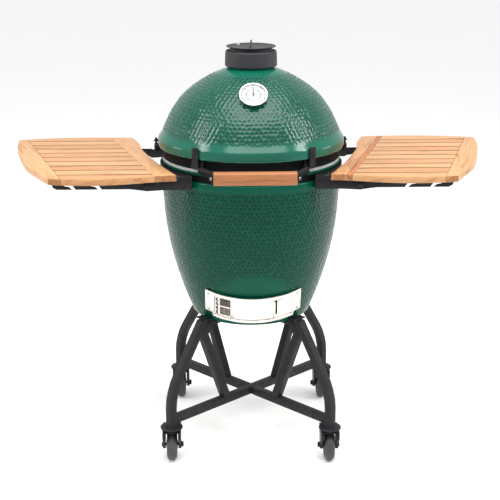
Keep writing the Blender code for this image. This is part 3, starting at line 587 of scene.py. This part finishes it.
def glazed_shell(name, nodes, glazing, outer, inner, columns, fade, capped=False, hole=None):
    """A closed ceramic wall: outer rows are (radius, height, dimpled), inner rows (radius, height)."""
    rows = np.array([(r, z) for r, z, _ in outer] + list(inner))
    dimpled = np.array([d for _, _, d in outer])
    seams = len(outer)
    angles = -np.pi + 2 * np.pi * np.arange(columns) / columns
    arc = np.concatenate([[0], np.cumsum(np.hypot(*np.diff(rows[:seams], axis=0).T))])
    arc = arc - arc[np.argmax(dimpled > 0)]
    depth = dimple_field(rows[:seams, 0], arc + 50 * DIMPLE_PITCH * 0.87, angles, DIMPLE_PITCH)
    depth *= dimpled[:, None]
    depth *= fade(angles[None, :], rows[:seams, 0][:, None], rows[:seams, 1][:, None])
    slope = np.gradient(rows[:seams], axis=0)
    slope /= np.hypot(slope[:, 0], slope[:, 1])[:, None] + 1e-9
    outward = np.stack([slope[:, 1], -slope[:, 0]], 1)
    outward *= np.sign(outward[:, :1] + 1e-9)
    radius = np.repeat(rows[:, :1], columns, 1)
    height = np.repeat(rows[:, 1:], columns, 1)
    radius[:seams] -= outward[:, :1] * depth * DIMPLE_DEPTH
    height[:seams] -= outward[:, 1:] * depth * DIMPLE_DEPTH
    points = np.stack([radius * np.sin(angles), -radius * np.cos(angles), height], 2).reshape(-1, 3)
    faces, finish = shell_faces(len(rows), seams, columns, capped, hole, rows, angles)
    mesh = bpy.data.meshes.new(name)
    mesh.from_pydata(points.tolist(), [], faces)
    mesh.polygons.foreach_set("material_index", finish)
    pit = np.zeros(len(points), np.float32)
    pit[:seams * columns] = depth.reshape(-1)
    mesh.attributes.new("pit", "FLOAT", "POINT").data.foreach_set("value", pit)
    mesh.update()
    turned = bmesh.new()
    turned.from_mesh(mesh)
    bmesh.ops.recalc_face_normals(turned, faces=turned.faces)
    turned.to_mesh(mesh)
    turned.free()
    first = nodes[0]
    return show_mesh(name, mesh, (glazing, RAW), NODE_BODY[first], nodes, 50)


def shell_faces(count, seams, columns, capped, hole, rows, angles):
    """Quads between the rows; a hole is (half angle, low, high) through outer and inner wall."""
    faces, finish = [], []
    last = count - 1 if capped else count
    open_columns = []
    spans = {}
    if hole:
        open_columns = [c for c in range(columns) if abs(angles[c]) < hole[0]]
        for first, end in ((0, seams), (seams, count)):
            inside = [r for r in range(first, end) if hole[1] <= rows[r][1] <= hole[2] and rows[r][0] > 0.1]
            spans[first] = (inside[0], inside[-1])
    skipped = set(open_columns[:-1])
    for row in range(last):
        following = (row + 1) % count
        if capped and row == seams - 1:
            continue
        gap = any(low <= row < high for low, high in spans.values())
        for column in range(columns):
            if gap and column in skipped:
                continue
            beside = (column + 1) % columns
            faces.append((row * columns + column, row * columns + beside,
                          following * columns + beside, following * columns + column))
            finish.append(0 if row < seams - 1 else 1)
    if capped:
        for row in (seams - 1, seams):
            faces.append(tuple(row * columns + c for c in range(columns)))
            finish.append(0 if row < seams else 1)
        faces += [(c, (c + 1) % columns, (count - 1) * columns + (c + 1) % columns,
                   (count - 1) * columns + c) for c in range(columns)]
        finish += [1] * columns
    if hole:
        walls = hole_walls(spans, open_columns, columns, seams)
        faces += walls
        finish += [1] * len(walls)
    return faces, finish


def hole_walls(spans, open_columns, columns, seams):
    outer_top, outer_bottom = spans[0]
    inner_bottom, inner_top = spans[seams]
    walls = []
    for outer, inner in ((outer_top, inner_top), (outer_bottom, inner_bottom)):
        for column in open_columns[:-1]:
            walls.append((outer * columns + column, outer * columns + column + 1,
                          inner * columns + column + 1, inner * columns + column))
    for column in (open_columns[0], open_columns[-1]):
        edge = [row * columns + column for row in range(outer_top, outer_bottom + 1)]
        edge += [row * columns + column for row in range(inner_bottom, inner_top + 1)]
        walls.append(tuple(edge))
    return walls


def dome():
    rim = [(0.2345, 0.8843), (0.2595, 0.8843), (0.2620, 0.8853), (0.2575, 0.8862), (0.2575, 0.9140),
           (0.2700, 0.9150), (0.2730, 0.9175), (0.2730, 0.9400), (0.2615, 0.9575)]
    smooth_rim = resampled(fillet(rim, 0.0035), 0.0028)
    crown = resampled(curve_through(DOME_CURVE, 12), 0.0026)
    neck = fillet([DOME_CURVE[-1], (0.0800, 1.1365), (0.0690, 1.1400), (0.0665, 1.1440), (0.0665, 1.1610),
                   (0.0655, 1.1620), (0.0530, 1.1620), (0.0520, 1.1610), (0.0520, 1.118)], 0.004)
    rows = [(r, z, 0.0) for r, z in smooth_rim]
    rows += [(r, z, 1.0) for r, z in crown[1:]]
    rows += [(r, z, 0.0) for r, z in neck[1:]]
    inner = [(0.066, 1.108)]
    inner += [(r - WALL, z - 0.004) for r, z in reversed(curve_through(DOME_CURVE[1:-2], 4))]
    inner += [(0.2345, 0.952), (0.2345, 0.920)]

    def fade(_angle, _radius, height):
        return smoothstep(0.9575, 0.9660, height) * (1 - smoothstep(1.122, 1.131, height))

    glazed_shell("dome_glazed", ("dome_shell",), LIT_DOME_GLAZE, rows, inner, 560, fade)


def base():
    rim = [(0.2345, 0.8757), (0.2595, 0.8757), (0.2620, 0.8742), (0.2620, 0.8692), (0.2575, 0.8678),
           (0.2575, 0.8492), (0.2638, 0.8474), (0.2642, 0.8310), BASE_CURVE[1]]
    smooth_rim = resampled(fillet(rim, 0.0030), 0.0030)
    curve = curve_through(BASE_CURVE, 12)
    smooth_rim = [p for p in smooth_rim if p[1] > 0.8300]
    body = resampled([smooth_rim[-1]] + [p for p in curve if p[1] < 0.8285], 0.0028)
    foot = fillet([BASE_CURVE[-1], (0.1725, 0.4085), (0.1655, 0.4062), (0.1500, 0.4060)], 0.004)
    rows = [(r, z, 0.0) for r, z in smooth_rim]
    rows += [(r, z, 1.0) for r, z in body[1:]]
    rows += [(r, z, 0.0) for r, z in foot[1:]]
    inner = [(0.140, 0.4285), (0.146, 0.4290), (0.1660, 0.4525), (0.1790, 0.4800), (0.1815, 0.4880)]
    inner += [(r - WALL, z) for r, z in reversed(curve_through(BASE_CURVE[1:5], 4))]
    inner += [(0.2345, 0.815)]

    def fade(angle, radius, height):
        across = radius * np.sin(angle)
        front = smoothstep(0.0, 0.3, np.cos(angle))
        patch = (across / 0.118) ** 2 + ((height - 0.4735) / 0.098) ** 2
        bare = (1 - smoothstep(0.75, 1.45, patch)) * front
        edge = (1 - smoothstep(0.822, 0.829, height)) * smoothstep(0.418, 0.428, height)
        return edge * (1 - bare)

    glazed_shell("base_glazed", ("base_shell", "base_floor"), SHADED_BASE_GLAZE, rows, inner, 520, fade, True,
                 (math.radians(16), 0.4500, 0.4885))


def plain_ring(name, node, radii, heights, material, soft=0.0006):
    inner, outer = radii
    low, high = heights
    outline = [(inner, low), (outer, low), (outer, high), (inner, high)]
    shape = rounded(lathe(outline, 180), soft, 2)
    show(name, shape, material, NODE_BODY[node], (node,))


def gaskets():
    for node in ("dome_gasket", "base_gasket"):
        low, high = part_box(node)
        plain_ring(f"{node}_strip", node, (0.2360, high.x + 0.0006), (low.z, high.z), FELT, 0.0012)


dome()
base()
gaskets()


# ------------------------------------------------------------ bands and their clamps

def band(heights):
    """A steel band with a small rolled bead along both edges."""
    inner, outer = 0.2578, 0.2606
    low, high = heights
    outline = [(inner, low), (outer - 0.0002, low), (outer + 0.0006, low + 0.0010), (outer, low + 0.0024)]
    outline += [(outer, high - 0.0024), (outer + 0.0006, high - 0.0010), (outer - 0.0002, high),
                (inner, high)]
    return lathe(outline, 200)


def clamp(side):
    """The two bent lugs at a band's side, drawn together by bolts."""
    x = side * 0.2735
    lugs = []
    for y in (0.0215, 0.0350):
        low = (min(x - 0.0125, x + 0.0125), y - 0.0015, 0.8885)
        high = (max(x - 0.0125, x + 0.0125), y + 0.0015, 0.9115)
        lugs.append(rounded(block(low, high), 0.0008))
    for z in (0.8945, 0.9060):
        place = Vector((side * 0.2795, 0.0200, z))
        lugs.append(bolt(place, (0, -1, 0), 0.0048, 0.0050))
        lugs.append(bolt(place + Vector((0, 0.0165, 0)), (0, 1, 0), 0.0048, 0.0060))
        lugs.append(tube([place, place + Vector((0, 0.022, 0))], 0.0026))
    upright = [(side * 0.2805, 0.030, 0.9100), (side * 0.2805, 0.030, 0.9290)]
    lugs.append(tube(upright, 0.0036, 16))
    lugs.append(bolt((side * 0.2805, 0.030, 0.9190), (0, 0, 1), 0.0058, 0.0058))
    return joined(*lugs)


def bands():
    for node, heights in (("dome_band", (0.8863, 0.9140)), ("base_band", (0.8495, 0.8675))):
        show(f"{node}_steel", band(heights), BAND, NODE_BODY[node], (node,))
    for name, side in (("left", -1), ("right", 1)):
        show(f"band_clamp_{name}", clamp(side), BLACK, "lid")


bands()


# ------------------------------------------------------------ handle

def with_grain(shape, along, seed, tone):
    """Stores each point's place along and across the grain, and the board's tone."""
    grain = shape.verts.layers.float_vector.new("grain")
    shade = shape.verts.layers.float.new("tone")
    direction = Vector(along).normalized()
    across = Vector((0, 0, 1)).cross(direction).normalized()
    shift = Vector((seed * 0.731, seed * 0.417, seed * 0.293))
    for vert in shape.verts:
        place = Vector((vert.co.dot(direction), vert.co.dot(across), vert.co.z))
        vert[grain] = place + shift
        vert[shade] = tone
    for face in shape.faces:
        face.material_index = 1 if abs(face.normal.dot(direction)) > 0.7 else 0
    return shape


def handle():
    low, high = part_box("handle_grip")
    edge = 0.0075
    outline = [(low.y, low.z), (high.y, low.z), (high.y, high.z), (low.y, high.z)]
    shape = prism(outline, low.x, high.x, ALONG_X)
    long_edges = [e for e in shape.edges if abs((e.verts[0].co - e.verts[1].co).x) > 0.1]
    bmesh.ops.bevel(shape, geom=long_edges, offset=edge, segments=5, profile=0.5, affect="EDGES")
    ends = [e for e in shape.edges if e.calc_face_angle(0) > math.radians(60)]
    bmesh.ops.bevel(shape, geom=ends, offset=0.0018, segments=2, profile=0.5, affect="EDGES")
    with_grain(shape, (1, 0, 0), 3.0, 0.15)
    show("handle_wood_grip", shape, (GRIP_WOOD, GRIP_WOOD), "lid", ("handle_grip",))
    middle = ((low.y + high.y) / 2, (low.z + high.z) / 2)
    for name, side in (("left", -1), ("right", 1)):
        softened(f"handle_arm_{name}", BLACK, 0.0009)
        angle = side * math.radians(36)
        out = Vector((math.sin(angle), -math.cos(angle), 0))
        across = Vector((math.cos(angle), math.sin(angle), 0))
        bolts = [bolt(Vector((0, 0, 0.8965)) + out * 0.2665 + across * shift, out, 0.0050, 0.0052)
                 for shift in (-0.0150, 0.0150)]
        bolts.append(bolt((side * 0.1214, *middle), (side, 0, 0), 0.0055, 0.0036))
        show(f"handle_bolts_{name}", joined(*bolts), BLACK, "lid")
    frame["nodes"]["handle_rod"].data.materials.clear()
    frame["nodes"]["handle_rod"].data.materials.append(ZINC)


handle()


# ------------------------------------------------------------ shelves

def clipped(outline, start, end):
    """Keeps the part of a polygon to the left of the line from start to end."""
    ahead = Vector(end) - Vector(start)
    normal = Vector((-ahead.y, ahead.x))
    sides = [(Vector(p) - Vector(start)).dot(normal) for p in outline]
    result = []
    for i, point in enumerate(outline):
        j = (i + 1) % len(outline)
        if sides[i] >= 0:
            result.append(tuple(point))
        if sides[i] * sides[j] < 0:
            t = sides[i] / (sides[i] - sides[j])
            result.append(tuple(Vector(point).lerp(Vector(outline[j]), t)))
    return result


def moved(line, distance):
    """The same line, moved sideways to its left."""
    start, end = Vector(line[0]), Vector(line[1])
    ahead = (end - start).normalized()
    left = Vector((-ahead.y, ahead.x)) * distance
    return tuple(start + left), tuple(end + left)


def board(outline, side, heights, along, seed, tone):
    outline = [(side * x, y) for x, y in outline]
    low, high = heights
    shape = prism(outline, low, high)
    rims = [e for e in shape.edges if abs(e.verts[0].co.z - e.verts[1].co.z) < 1e-6]
    bmesh.ops.bevel(shape, geom=rims, offset=0.0013, segments=2, profile=0.5, affect="EDGES",
                    clamp_overlap=True)
    bmesh.ops.recalc_face_normals(shape, faces=shape.faces)
    return with_grain(shape, (side * along[0], along[1], 0), seed, tone)


def shelf_outline():
    points = curve_through(SHELF_FRONT, 6)[:-1] + curve_through(SHELF_OUTER, 6)[:-1]
    return points + curve_through(SHELF_BACK, 6)[:-1] + curve_through(SHELF_INNER, 6)[:-1]


def seam_direction(seam):
    ahead = Vector(seam[0]) - Vector(seam[1])
    return ahead.normalized()


def shelf(name, side, tones):
    low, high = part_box(f"shelf_board_{name}")
    heights = (low.z, high.z)
    outline = shelf_outline()
    inner_board = clipped(outline, *reversed(INNER_SEAM))
    outer_board = clipped(outline, *OUTER_SEAM)
    middle = clipped(clipped(outline, *moved(INNER_SEAM, 0.0005)), *reversed(moved(OUTER_SEAM, -0.0005)))
    boards = []
    inner_grain = seam_direction(INNER_SEAM)
    if side > 0:
        strip = moved(INNER_SEAM, -0.016)
        boards.append(board(clipped(inner_board, *strip), side, heights, inner_grain, 11, 1.0))
        inner_board = clipped(inner_board, *reversed(moved(strip, -0.0003)))
    boards.append(board(inner_board, side, heights, inner_grain, 5, tones[0]))
    boards.append(board(outer_board, side, heights, seam_direction(OUTER_SEAM), 7, tones[1]))
    back, front = 0.3185, -0.268
    pitch = (back - front) / SLATS
    for i in range(SLATS):
        top = back + 0.02 if i == 0 else back - i * pitch - GROOVE / 2
        bottom = front - 0.02 if i == SLATS - 1 else back - (i + 1) * pitch + GROOVE / 2
        slat = clipped(clipped(middle, (1, top), (0, top)), (0, bottom), (1, bottom))
        slat = board(slat, side, heights, (1, 0), 17 + i * 1.7, tones[2 + i % 5])
        # Slat sides that face a groove take the groove's painted shade.
        for face in slat.faces:
            if (i > 0 and face.normal.y > 0.6) or (i < SLATS - 1 and face.normal.y < -0.6):
                face.material_index = 2
        boards.append(slat)
        if i:
            line = back - i * pitch
            # A sunk dark board fills each groove as painted shade.
            filler = clipped(clipped(middle, (1, line + GROOVE), (0, line + GROOVE)),
                             (0, line - GROOVE), (1, line - GROOVE))
            sunk_shade = board(filler, side, (low.z + 0.002, high.z - 0.0045), (1, 0), 60 + i, 1.0)
            for face in sunk_shade.faces:
                face.material_index = 2
            boards.append(sunk_shade)
    show(f"shelf_slats_{name}", joined(*boards), (SHELF_WOOD, SHELF_END, GROOVE_SHADE_WOOD), f"shelf_{name}",
         (f"shelf_board_{name}",), 40)


def shelf_metal(name, side):
    softened(f"shelf_bracket_{name}", BLACK, 0.0007)
    for where in ("front", "rear"):
        softened(f"shelf_arm_{where}_{name}", BLACK, 0.0005)
    heads = []
    for angle in (-34, -26, 26, 34):
        out = Vector((side * math.cos(math.radians(angle)), math.sin(math.radians(angle)), 0))
        heads.append(bolt(out * 0.2688 + Vector((0, 0, 0.8485)), out, 0.0052, 0.0050))
    for front in (-1, 1):
        heads.append(bolt((side * 0.300, front * 0.2290, 0.8405), (0, front, 0), 0.0062, 0.0048))
        heads.append(bolt((side * 0.268, front * 0.2214, 0.8510), (0, front, 0), 0.0040, 0.0036))
    show(f"shelf_bolts_{name}", joined(*heads), BLACK, "stand")
    screws = [bolt((side * x, front * 0.2245, 0.8552), (0, 0, -1), 0.0012, 0.0004, 16)
              for x in (0.36, 0.52) for front in (-1, 1)]
    show(f"shelf_screws_{name}", joined(*screws), BLACK, f"shelf_{name}")


for shelf_name, shelf_side, shelf_tones in (("left", -1, (0.12, 0.0, 0.25, 0.0, 0.42, 0.08, 0.30)),
                                            ("right", 1, (0.25, 0.10, 0.05, 0.35, 0.0, 0.45, 0.15))):
    shelf(shelf_name, shelf_side, shelf_tones)
    shelf_metal(shelf_name, shelf_side)


# ------------------------------------------------------------ vent cap

def vent():
    low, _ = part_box("cap_body")
    bottom = low.z
    top = 1.190
    outline = [(0.0677, bottom), (0.0715, bottom), (0.0752, bottom + 0.0016), (0.0758, bottom + 0.0045),
               (0.0748, top - 0.0100), (0.0744, top - 0.0035), (0.0722, top - 0.0004),
               (0.0700, top - 0.0006), (0.0672, top - 0.0040), (0.0640, top - 0.0075),
               (0.0618, top - 0.0062),
               (0.0612, DISC_Z - 0.0030), (0.0596, DISC_Z - 0.0013), (0.0510, DISC_Z - 0.0013),
               (0.0500, DISC_Z - 0.0025), (0.0500, 1.1623), (0.0677, 1.1623)]
    body = lathe(fillet(outline + outline[:1], 0.0016, 3)[:-1], 160)
    boss = lathe([(0.0034, DISC_Z - 0.012), (0.0075, DISC_Z - 0.012), (0.0075, DISC_Z - 0.0012),
                  (0.0034, DISC_Z - 0.0012)], 32, Matrix.Translation(VENT_PIVOT))
    show("vent_cap_casting", joined(body, boss), CAST_CAP, "cap", ("cap_body",))
    radius = 0.072
    plate = [(0, DISC_Z), (radius - 0.005, DISC_Z), (radius - 0.0010, DISC_Z + 0.0014),
             (radius, DISC_Z + 0.0030), (radius - 0.0008, DISC_Z + 0.0042),
             (radius - 0.0045, DISC_Z + 0.0036), (radius - 0.0095, DISC_Z + 0.0022),
             (radius - 0.0110, DISC_Z + 0.0031),
             (radius - 0.0125, DISC_Z + 0.0022), (0.020, DISC_Z + 0.0017), (0, DISC_Z + 0.0017)]
    disc = lathe(plate, 160)
    fin = [(-0.066, 0.0010), (0.006, 0.0010), (0.006, 0.0165), (0.001, 0.0206), (-0.006, 0.0215),
           (-0.014, 0.0185), (-0.040, 0.0092), (-0.060, 0.0070), (-0.066, 0.0045)]
    fin = rounded(prism([(y, DISC_Z + z) for y, z in fin], -0.0022, 0.0022, ALONG_X), 0.0009)
    show("vent_disc_casting", joined(disc, fin), CAST_CAP, "vent", ("vent_disc",))
    softened("vent_pivot", ZINC, 0.0004)


vent()


# ------------------------------------------------------------ thermometer

def gauge_matrix():
    return Matrix.Translation(GAUGE_FOOT) @ Matrix.Rotation(math.pi / 2 - GAUGE_TILT, 4, "X")


def figure(text, size, place, matrix):
    """A printed number as a thin mesh."""
    curve = bpy.data.curves.new("figure", "FONT")
    curve.body = text
    curve.size = size
    curve.align_x = "CENTER"
    curve.align_y = "CENTER"
    curve.extrude = 0.00005
    curve.resolution_u = 2
    holder = bpy.data.objects.new("figure", curve)
    bpy.context.scene.collection.objects.link(holder)
    bpy.context.view_layer.update()
    mesh = bpy.data.meshes.new_from_object(holder.evaluated_get(bpy.context.evaluated_depsgraph_get()))
    shape = bmesh.new()
    shape.from_mesh(mesh)
    bmesh.ops.transform(shape, matrix=matrix @ Matrix.Translation(place), verts=shape.verts)
    bpy.data.objects.remove(holder)
    bpy.data.curves.remove(curve)
    bpy.data.meshes.remove(mesh)
    return shape


def dial_print(level, place):
    """Two rings, the ticks and two rows of figures, printed on the dial."""
    top = level + PRINT
    ink = [lathe([(inner, level), (outer, level), (outer, top), (inner, top)], 96, place)
           for inner, outer in ((0.0194, 0.0208), (0.0325, 0.0331))]
    for i in range(DIAL_TICKS + 1):
        angle = math.radians(DIAL_START - DIAL_SWEEP * i / DIAL_TICKS)
        major = i % 5 == 0
        inner = 0.0298 if major else 0.0310
        half = 0.00055 if major else 0.00028
        ink.append(block((inner, -half, level), (0.0326, half, top), place @ Matrix.Rotation(angle, 4, "Z")))
    for i in range(DIAL_FIGURES + 1):
        angle = math.radians(DIAL_START - DIAL_SWEEP * i / DIAL_FIGURES)
        for radius, size, step in ((0.0262, 0.0064, 50), (0.0160, 0.0042, 100)):
            spot = (radius * math.cos(angle), radius * math.sin(angle), level + 0.00006)
            ink.append(figure(str(step + step * i), size, spot, place))
    return ink


def thermometer():
    place = gauge_matrix()
    case = [(0, -0.055), (0.0030, -0.055), (0.0045, -0.050), (0.0045, 0.0015), (0.0340, 0.0015),
            (0.0362, 0.0035), (0.0365, 0.0090), (0.0392, 0.0096), (0.0400, 0.0110), (0.0400, 0.0140),
            (0.0390, 0.0156), (0.0375, 0.0160), (0.0358, 0.0156), (0.0351, 0.0146), (0.0350, 0.0100),
            (0, 0.0100)]
    show("gauge_bezel", lathe(case, 128, place), BEZEL, "lid", ("thermometer_case",))
    face = lathe([(0, 0.0103), (0.0346, 0.0103), (0.0346, 0.0110), (0, 0.0111)], 96, place)
    show("gauge_face", face, DIAL, "lid", ("thermometer_dial",))
    show("gauge_print", joined(*dial_print(0.01115, place)), INK, "lid")
    softened("thermometer_pointer", INK, 0.0001)
    lens = [(0, 0.0136), (0.0346, 0.0136), (0.0346, 0.0146), (0.020, 0.0154), (0, 0.0157)]
    show("gauge_lens", lathe(lens, 96, place), GLASS, "lid", ("thermometer_lens",))


thermometer()


# ------------------------------------------------------------ draft door

def draft_matrix():
    turn = Matrix.Rotation(DRAFT_LEAN, 4, "X")
    return Matrix.Translation(DRAFT_FRONT + turn @ Vector((0, DRAFT_RADIUS, 0))) @ turn


def on_draft(depth, angle, height):
    """A point by its depth from the draft cylinder, angle in degrees and height."""
    radius = DRAFT_RADIUS + depth
    a = math.radians(angle)
    return draft_matrix() @ Vector((radius * math.sin(a), -radius * math.cos(a), height))


def draft_outward(angle):
    a = math.radians(angle)
    return draft_matrix().to_3x3() @ Vector((math.sin(a), -math.cos(a), 0))


def screen_wires(angles, heights, depth):
    """A woven screen: thin wires up and across the window."""
    start, end = angles
    low, high = heights
    wires = []
    upright = round(math.radians(end - start) * DRAFT_RADIUS / 0.0017)
    for i in range(1, upright):
        angle = start + (end - start) * i / upright
        wires.append(tube([on_draft(depth, angle, low - 0.001), on_draft(depth, angle, high + 0.001)],
                          0.00034, 4))
    level = round((high - low) / 0.0017)
    for i in range(1, level):
        height = low + (high - low) * i / level
        path = [on_draft(depth + 0.0003, start + (end - start) * k / 6, height) for k in range(7)]
        wires.append(tube(path, 0.00034, 4))
    return joined(*wires)


def draft_door():
    softened("draft_frame", STEEL, 0.0004)
    softened("draft_screen", STEEL, 0.0002)
    softened("draft_door", STEEL, 0.0002)
    screws = []
    for angle, height in ((-38.5, 0.033), (-38.5, -0.021), (38.5, 0.033), (38.5, -0.021)):
        screws.append(bolt(on_draft(0.0067, angle, height), draft_outward(angle), 0.0038, 0.0030, 20))
    show("draft_screws", joined(*screws), ZINC, "stand")
    panes = []
    for start, width in ((-28.5, 9.5), (-15.5, 8.5), (-5.0, 8.5)):
        for heights in ((0.0020, 0.0290), (-0.0290, -0.0020)):
            panes.append(screen_wires((start, start + width), heights, 0.0021))
    show("draft_mesh", joined(*panes), WIRE, "draft_screen")
    pull = [on_draft(0.0046, -31.0 + 0.55 * math.cos(420 * h), h) for h in np.linspace(-0.030, 0.030, 41)]
    show("draft_screen_pull", tube(pull, 0.0013, 8), WIRE, "draft_screen")


draft_door()


# ------------------------------------------------------------ stand and casters

def stand():
    tubes = ["rail_long", "rail_half_left", "rail_half_right"]
    tubes += [f"leg_{c}" for c in CORNERS] + [f"strut_{c}" for c in CORNERS]
    for node in tubes:
        softened(node, FRAME_COAT, 0.0026 if "strut" not in node else 0.0018, 3)


def wheel(name, centre):
    """One caster wheel: hub, dished disc and tread, the same on both sides."""
    half = 0.015
    steps = ((0.0045, -0.002), (0.0110, -0.002), (0.0135, -0.0005), (0.0150, 0.002), (0.0280, 0.0030),
             (0.0300, 0.0005), (0.0320, 0), (0.0335, 0.0015), (0.0350, 0), (0.0390, 0.0008),
             (0.0440, 0.0035), (0.0470, 0.0075), (WHEEL_RADIUS, 0.0120))
    outline = [(radius, inset - half) for radius, inset in steps]
    mirrored = [(radius, -height) for radius, height in reversed(outline)]
    turn = Matrix.Translation(centre) @ Matrix.Rotation(math.pi / 2, 4, "Y")
    shape = lathe(outline + mirrored, 96, turn)
    show(f"wheel_{name}", shape, RUBBER, f"wheel_{name}", (f"caster_wheel_{name}",))


def caster(name):
    low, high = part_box(f"caster_wheel_{name}")
    centre = (low + high) / 2
    centre.z = WHEEL_RADIUS
    wheel(name, centre)
    softened(f"caster_fork_{name}", BLACK, 0.0012)
    stem = Matrix.Translation((centre.x, centre.y - CASTER_TRAIL, 0))
    race = [(0.0200, 0.0985), (0.0268, 0.0990), (0.0285, 0.1010), (0.0285, 0.1030), (0.0262, 0.1052),
            (0.0200, 0.1056)]
    show(f"caster_race_{name}", lathe(race, 64, stem), BLACK, f"fork_{name}")
    side = 1 if "left" in name else -1
    nuts = [bolt((centre.x + side * 0.0272, centre.y, WHEEL_RADIUS), (side, 0, 0), 0.0072, 0.0070),
            bolt((centre.x - side * 0.0272, centre.y, WHEEL_RADIUS), (-side, 0, 0), 0.0066, 0.0040)]
    show(f"caster_nuts_{name}", joined(*nuts), BLACK, f"fork_{name}")


stand()
for corner in CORNERS:
    caster(corner)
for node in ("brake_lever_front_left", "brake_lever_front_right"):
    softened(node, BLACK, 0.0008)


# ------------------------------------------------------------ hinge and inside

def hinge():
    softened("hinge_lower_bracket", BLACK, 0.0008)
    softened("hinge_upper_bracket", BLACK, 0.0008)
    softened("hinge_pin", ZINC, 0.0006)
    for name, low, high in (("left", -0.042, -0.006), ("right", 0.006, 0.042)):
        path = []
        for i in range(SPRING_STEPS + 1):
            a = 2 * math.pi * SPRING_TURNS * i / SPRING_STEPS
            x = low + (high - low) * i / SPRING_STEPS
            path.append(HINGE + Vector((x, 0.0092 * math.cos(a), 0.0092 * math.sin(a))))
        show(f"hinge_coil_{name}", tube(path, 0.0015, 10), SPRING, "stand",
             (f"hinge_spring_{name}",))
    heads = [bolt((x, 0.2695, z), (0, 1, 0), 0.0052, 0.0046)
             for x in (-0.030, 0.030) for z in (0.847, 0.864)]
    show("hinge_bolts_lower", joined(*heads), BLACK, "stand")
    heads = [bolt((x, 0.2662, 0.900), (0, 1, 0), 0.0052, 0.0046) for x in (-0.026, 0.026)]
    show("hinge_bolts_upper", joined(*heads), BLACK, "lid")


def cooking_grid():
    low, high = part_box("cooking_grid")
    level = (low.z + high.z) / 2
    radius = high.x - 0.0030
    bars = [tube([(radius * math.cos(a), radius * math.sin(a), level)
                  for a in (2 * math.pi * i / 96 for i in range(97))], 0.0029, 10)]
    for i in range(-GRID_BARS, GRID_BARS + 1):
        y = i * GRID_PITCH
        reach = math.sqrt(max(0.0, (radius - 0.001) ** 2 - y * y))
        bars.append(tube([(-reach, y, level + 0.0004), (reach, y, level + 0.0004)], 0.0021, 8))
    for x in (-0.075, 0.075):
        reach = math.sqrt(radius ** 2 - x * x)
        bars.append(tube([(x, -reach, level - 0.0008), (x, reach, level - 0.0008)], 0.0021, 8))
    show("cooking_grid_bars", joined(*bars), GRID_STEEL, "grid", ("cooking_grid",))


hinge()
cooking_grid()
softened("firebox", CLAY, 0.0030)
softened("fire_ring", CLAY, 0.0030)
softened("fire_grate", IRON, 0.0012)


# ------------------------------------------------------------ studio

def light(name, place, aim, size, power):
    """A white softbox that looks at a point at height aim above the origin."""
    data = bpy.data.lights.new(name, "AREA")
    data.shape = "RECTANGLE"
    data.size, data.size_y = size
    data.energy = power
    lamp = bpy.data.objects.new(name, data)
    lamp.location = place
    lamp.rotation_euler = (Vector((0, 0, aim)) - Vector(place)).to_track_quat("-Z", "Y").to_euler()
    bpy.context.scene.collection.objects.link(lamp)


def studio():
    floor = bpy.data.meshes.new("floor")
    floor.from_pydata([(-40, -10, 0), (40, -10, 0), (40, 60, 0), (-40, 60, 0)], [], [(0, 1, 2, 3)])
    s = Surface("floor_white", (0.97, 0.97, 0.97), 0.6)
    pale = s.ramp(s.noise(2, 2), ((0.3, (0.965, 0.965, 0.965)), (0.7, (0.975, 0.975, 0.975))))
    floor.materials.append(s.finish(pale, 0.7, Specular_IOR_Level=0.2))
    sheet = bpy.data.objects.new("floor", floor)
    bpy.context.scene.collection.objects.link(sheet)
    world = bpy.data.worlds.new("studio")
    world.use_nodes = True
    world.node_tree.nodes["Background"].inputs["Color"].default_value = (1, 1, 1, 1)
    world.node_tree.nodes["Background"].inputs["Strength"].default_value = 0.95
    bpy.context.scene.world = world
    bpy.context.scene.view_settings.view_transform = "Standard"
    light("softbox_top", (0.1, -0.8, 3.0), 0.8, (2.6, 2.0), 90)
    light("softbox_left", (-2.5, -0.9, 2.5), 0.8, (0.6, 1.3), 30)
    light("softbox_right", (2.5, -0.9, 2.5), 0.8, (0.6, 1.3), 34)
    light("strip_left", (-2.2, 0.3, 0.75), 0.6, (0.6, 1.5), 8)
    light("strip_right", (2.2, 0.3, 0.75), 0.6, (0.6, 1.5), 8)


def camera():
    """A long lens from the front, slightly to the left and above, looking down."""
    data = bpy.data.cameras.new("camera")
    data.sensor_width = 36.0
    data.lens = 85.02
    eye = bpy.data.objects.new("camera", data)
    azimuth = math.radians(-2.0)
    distance = 3.430
    aside = -0.0029
    height = 1.619
    pitch = 0.2923
    eye.location = (distance * math.sin(azimuth) + aside * math.cos(azimuth),
                    -distance * math.cos(azimuth) + aside * math.sin(azimuth), height)
    eye.rotation_euler = (math.pi / 2 - pitch, 0, azimuth)
    bpy.context.scene.collection.objects.link(eye)
    bpy.context.scene.camera = eye


studio()
camera()
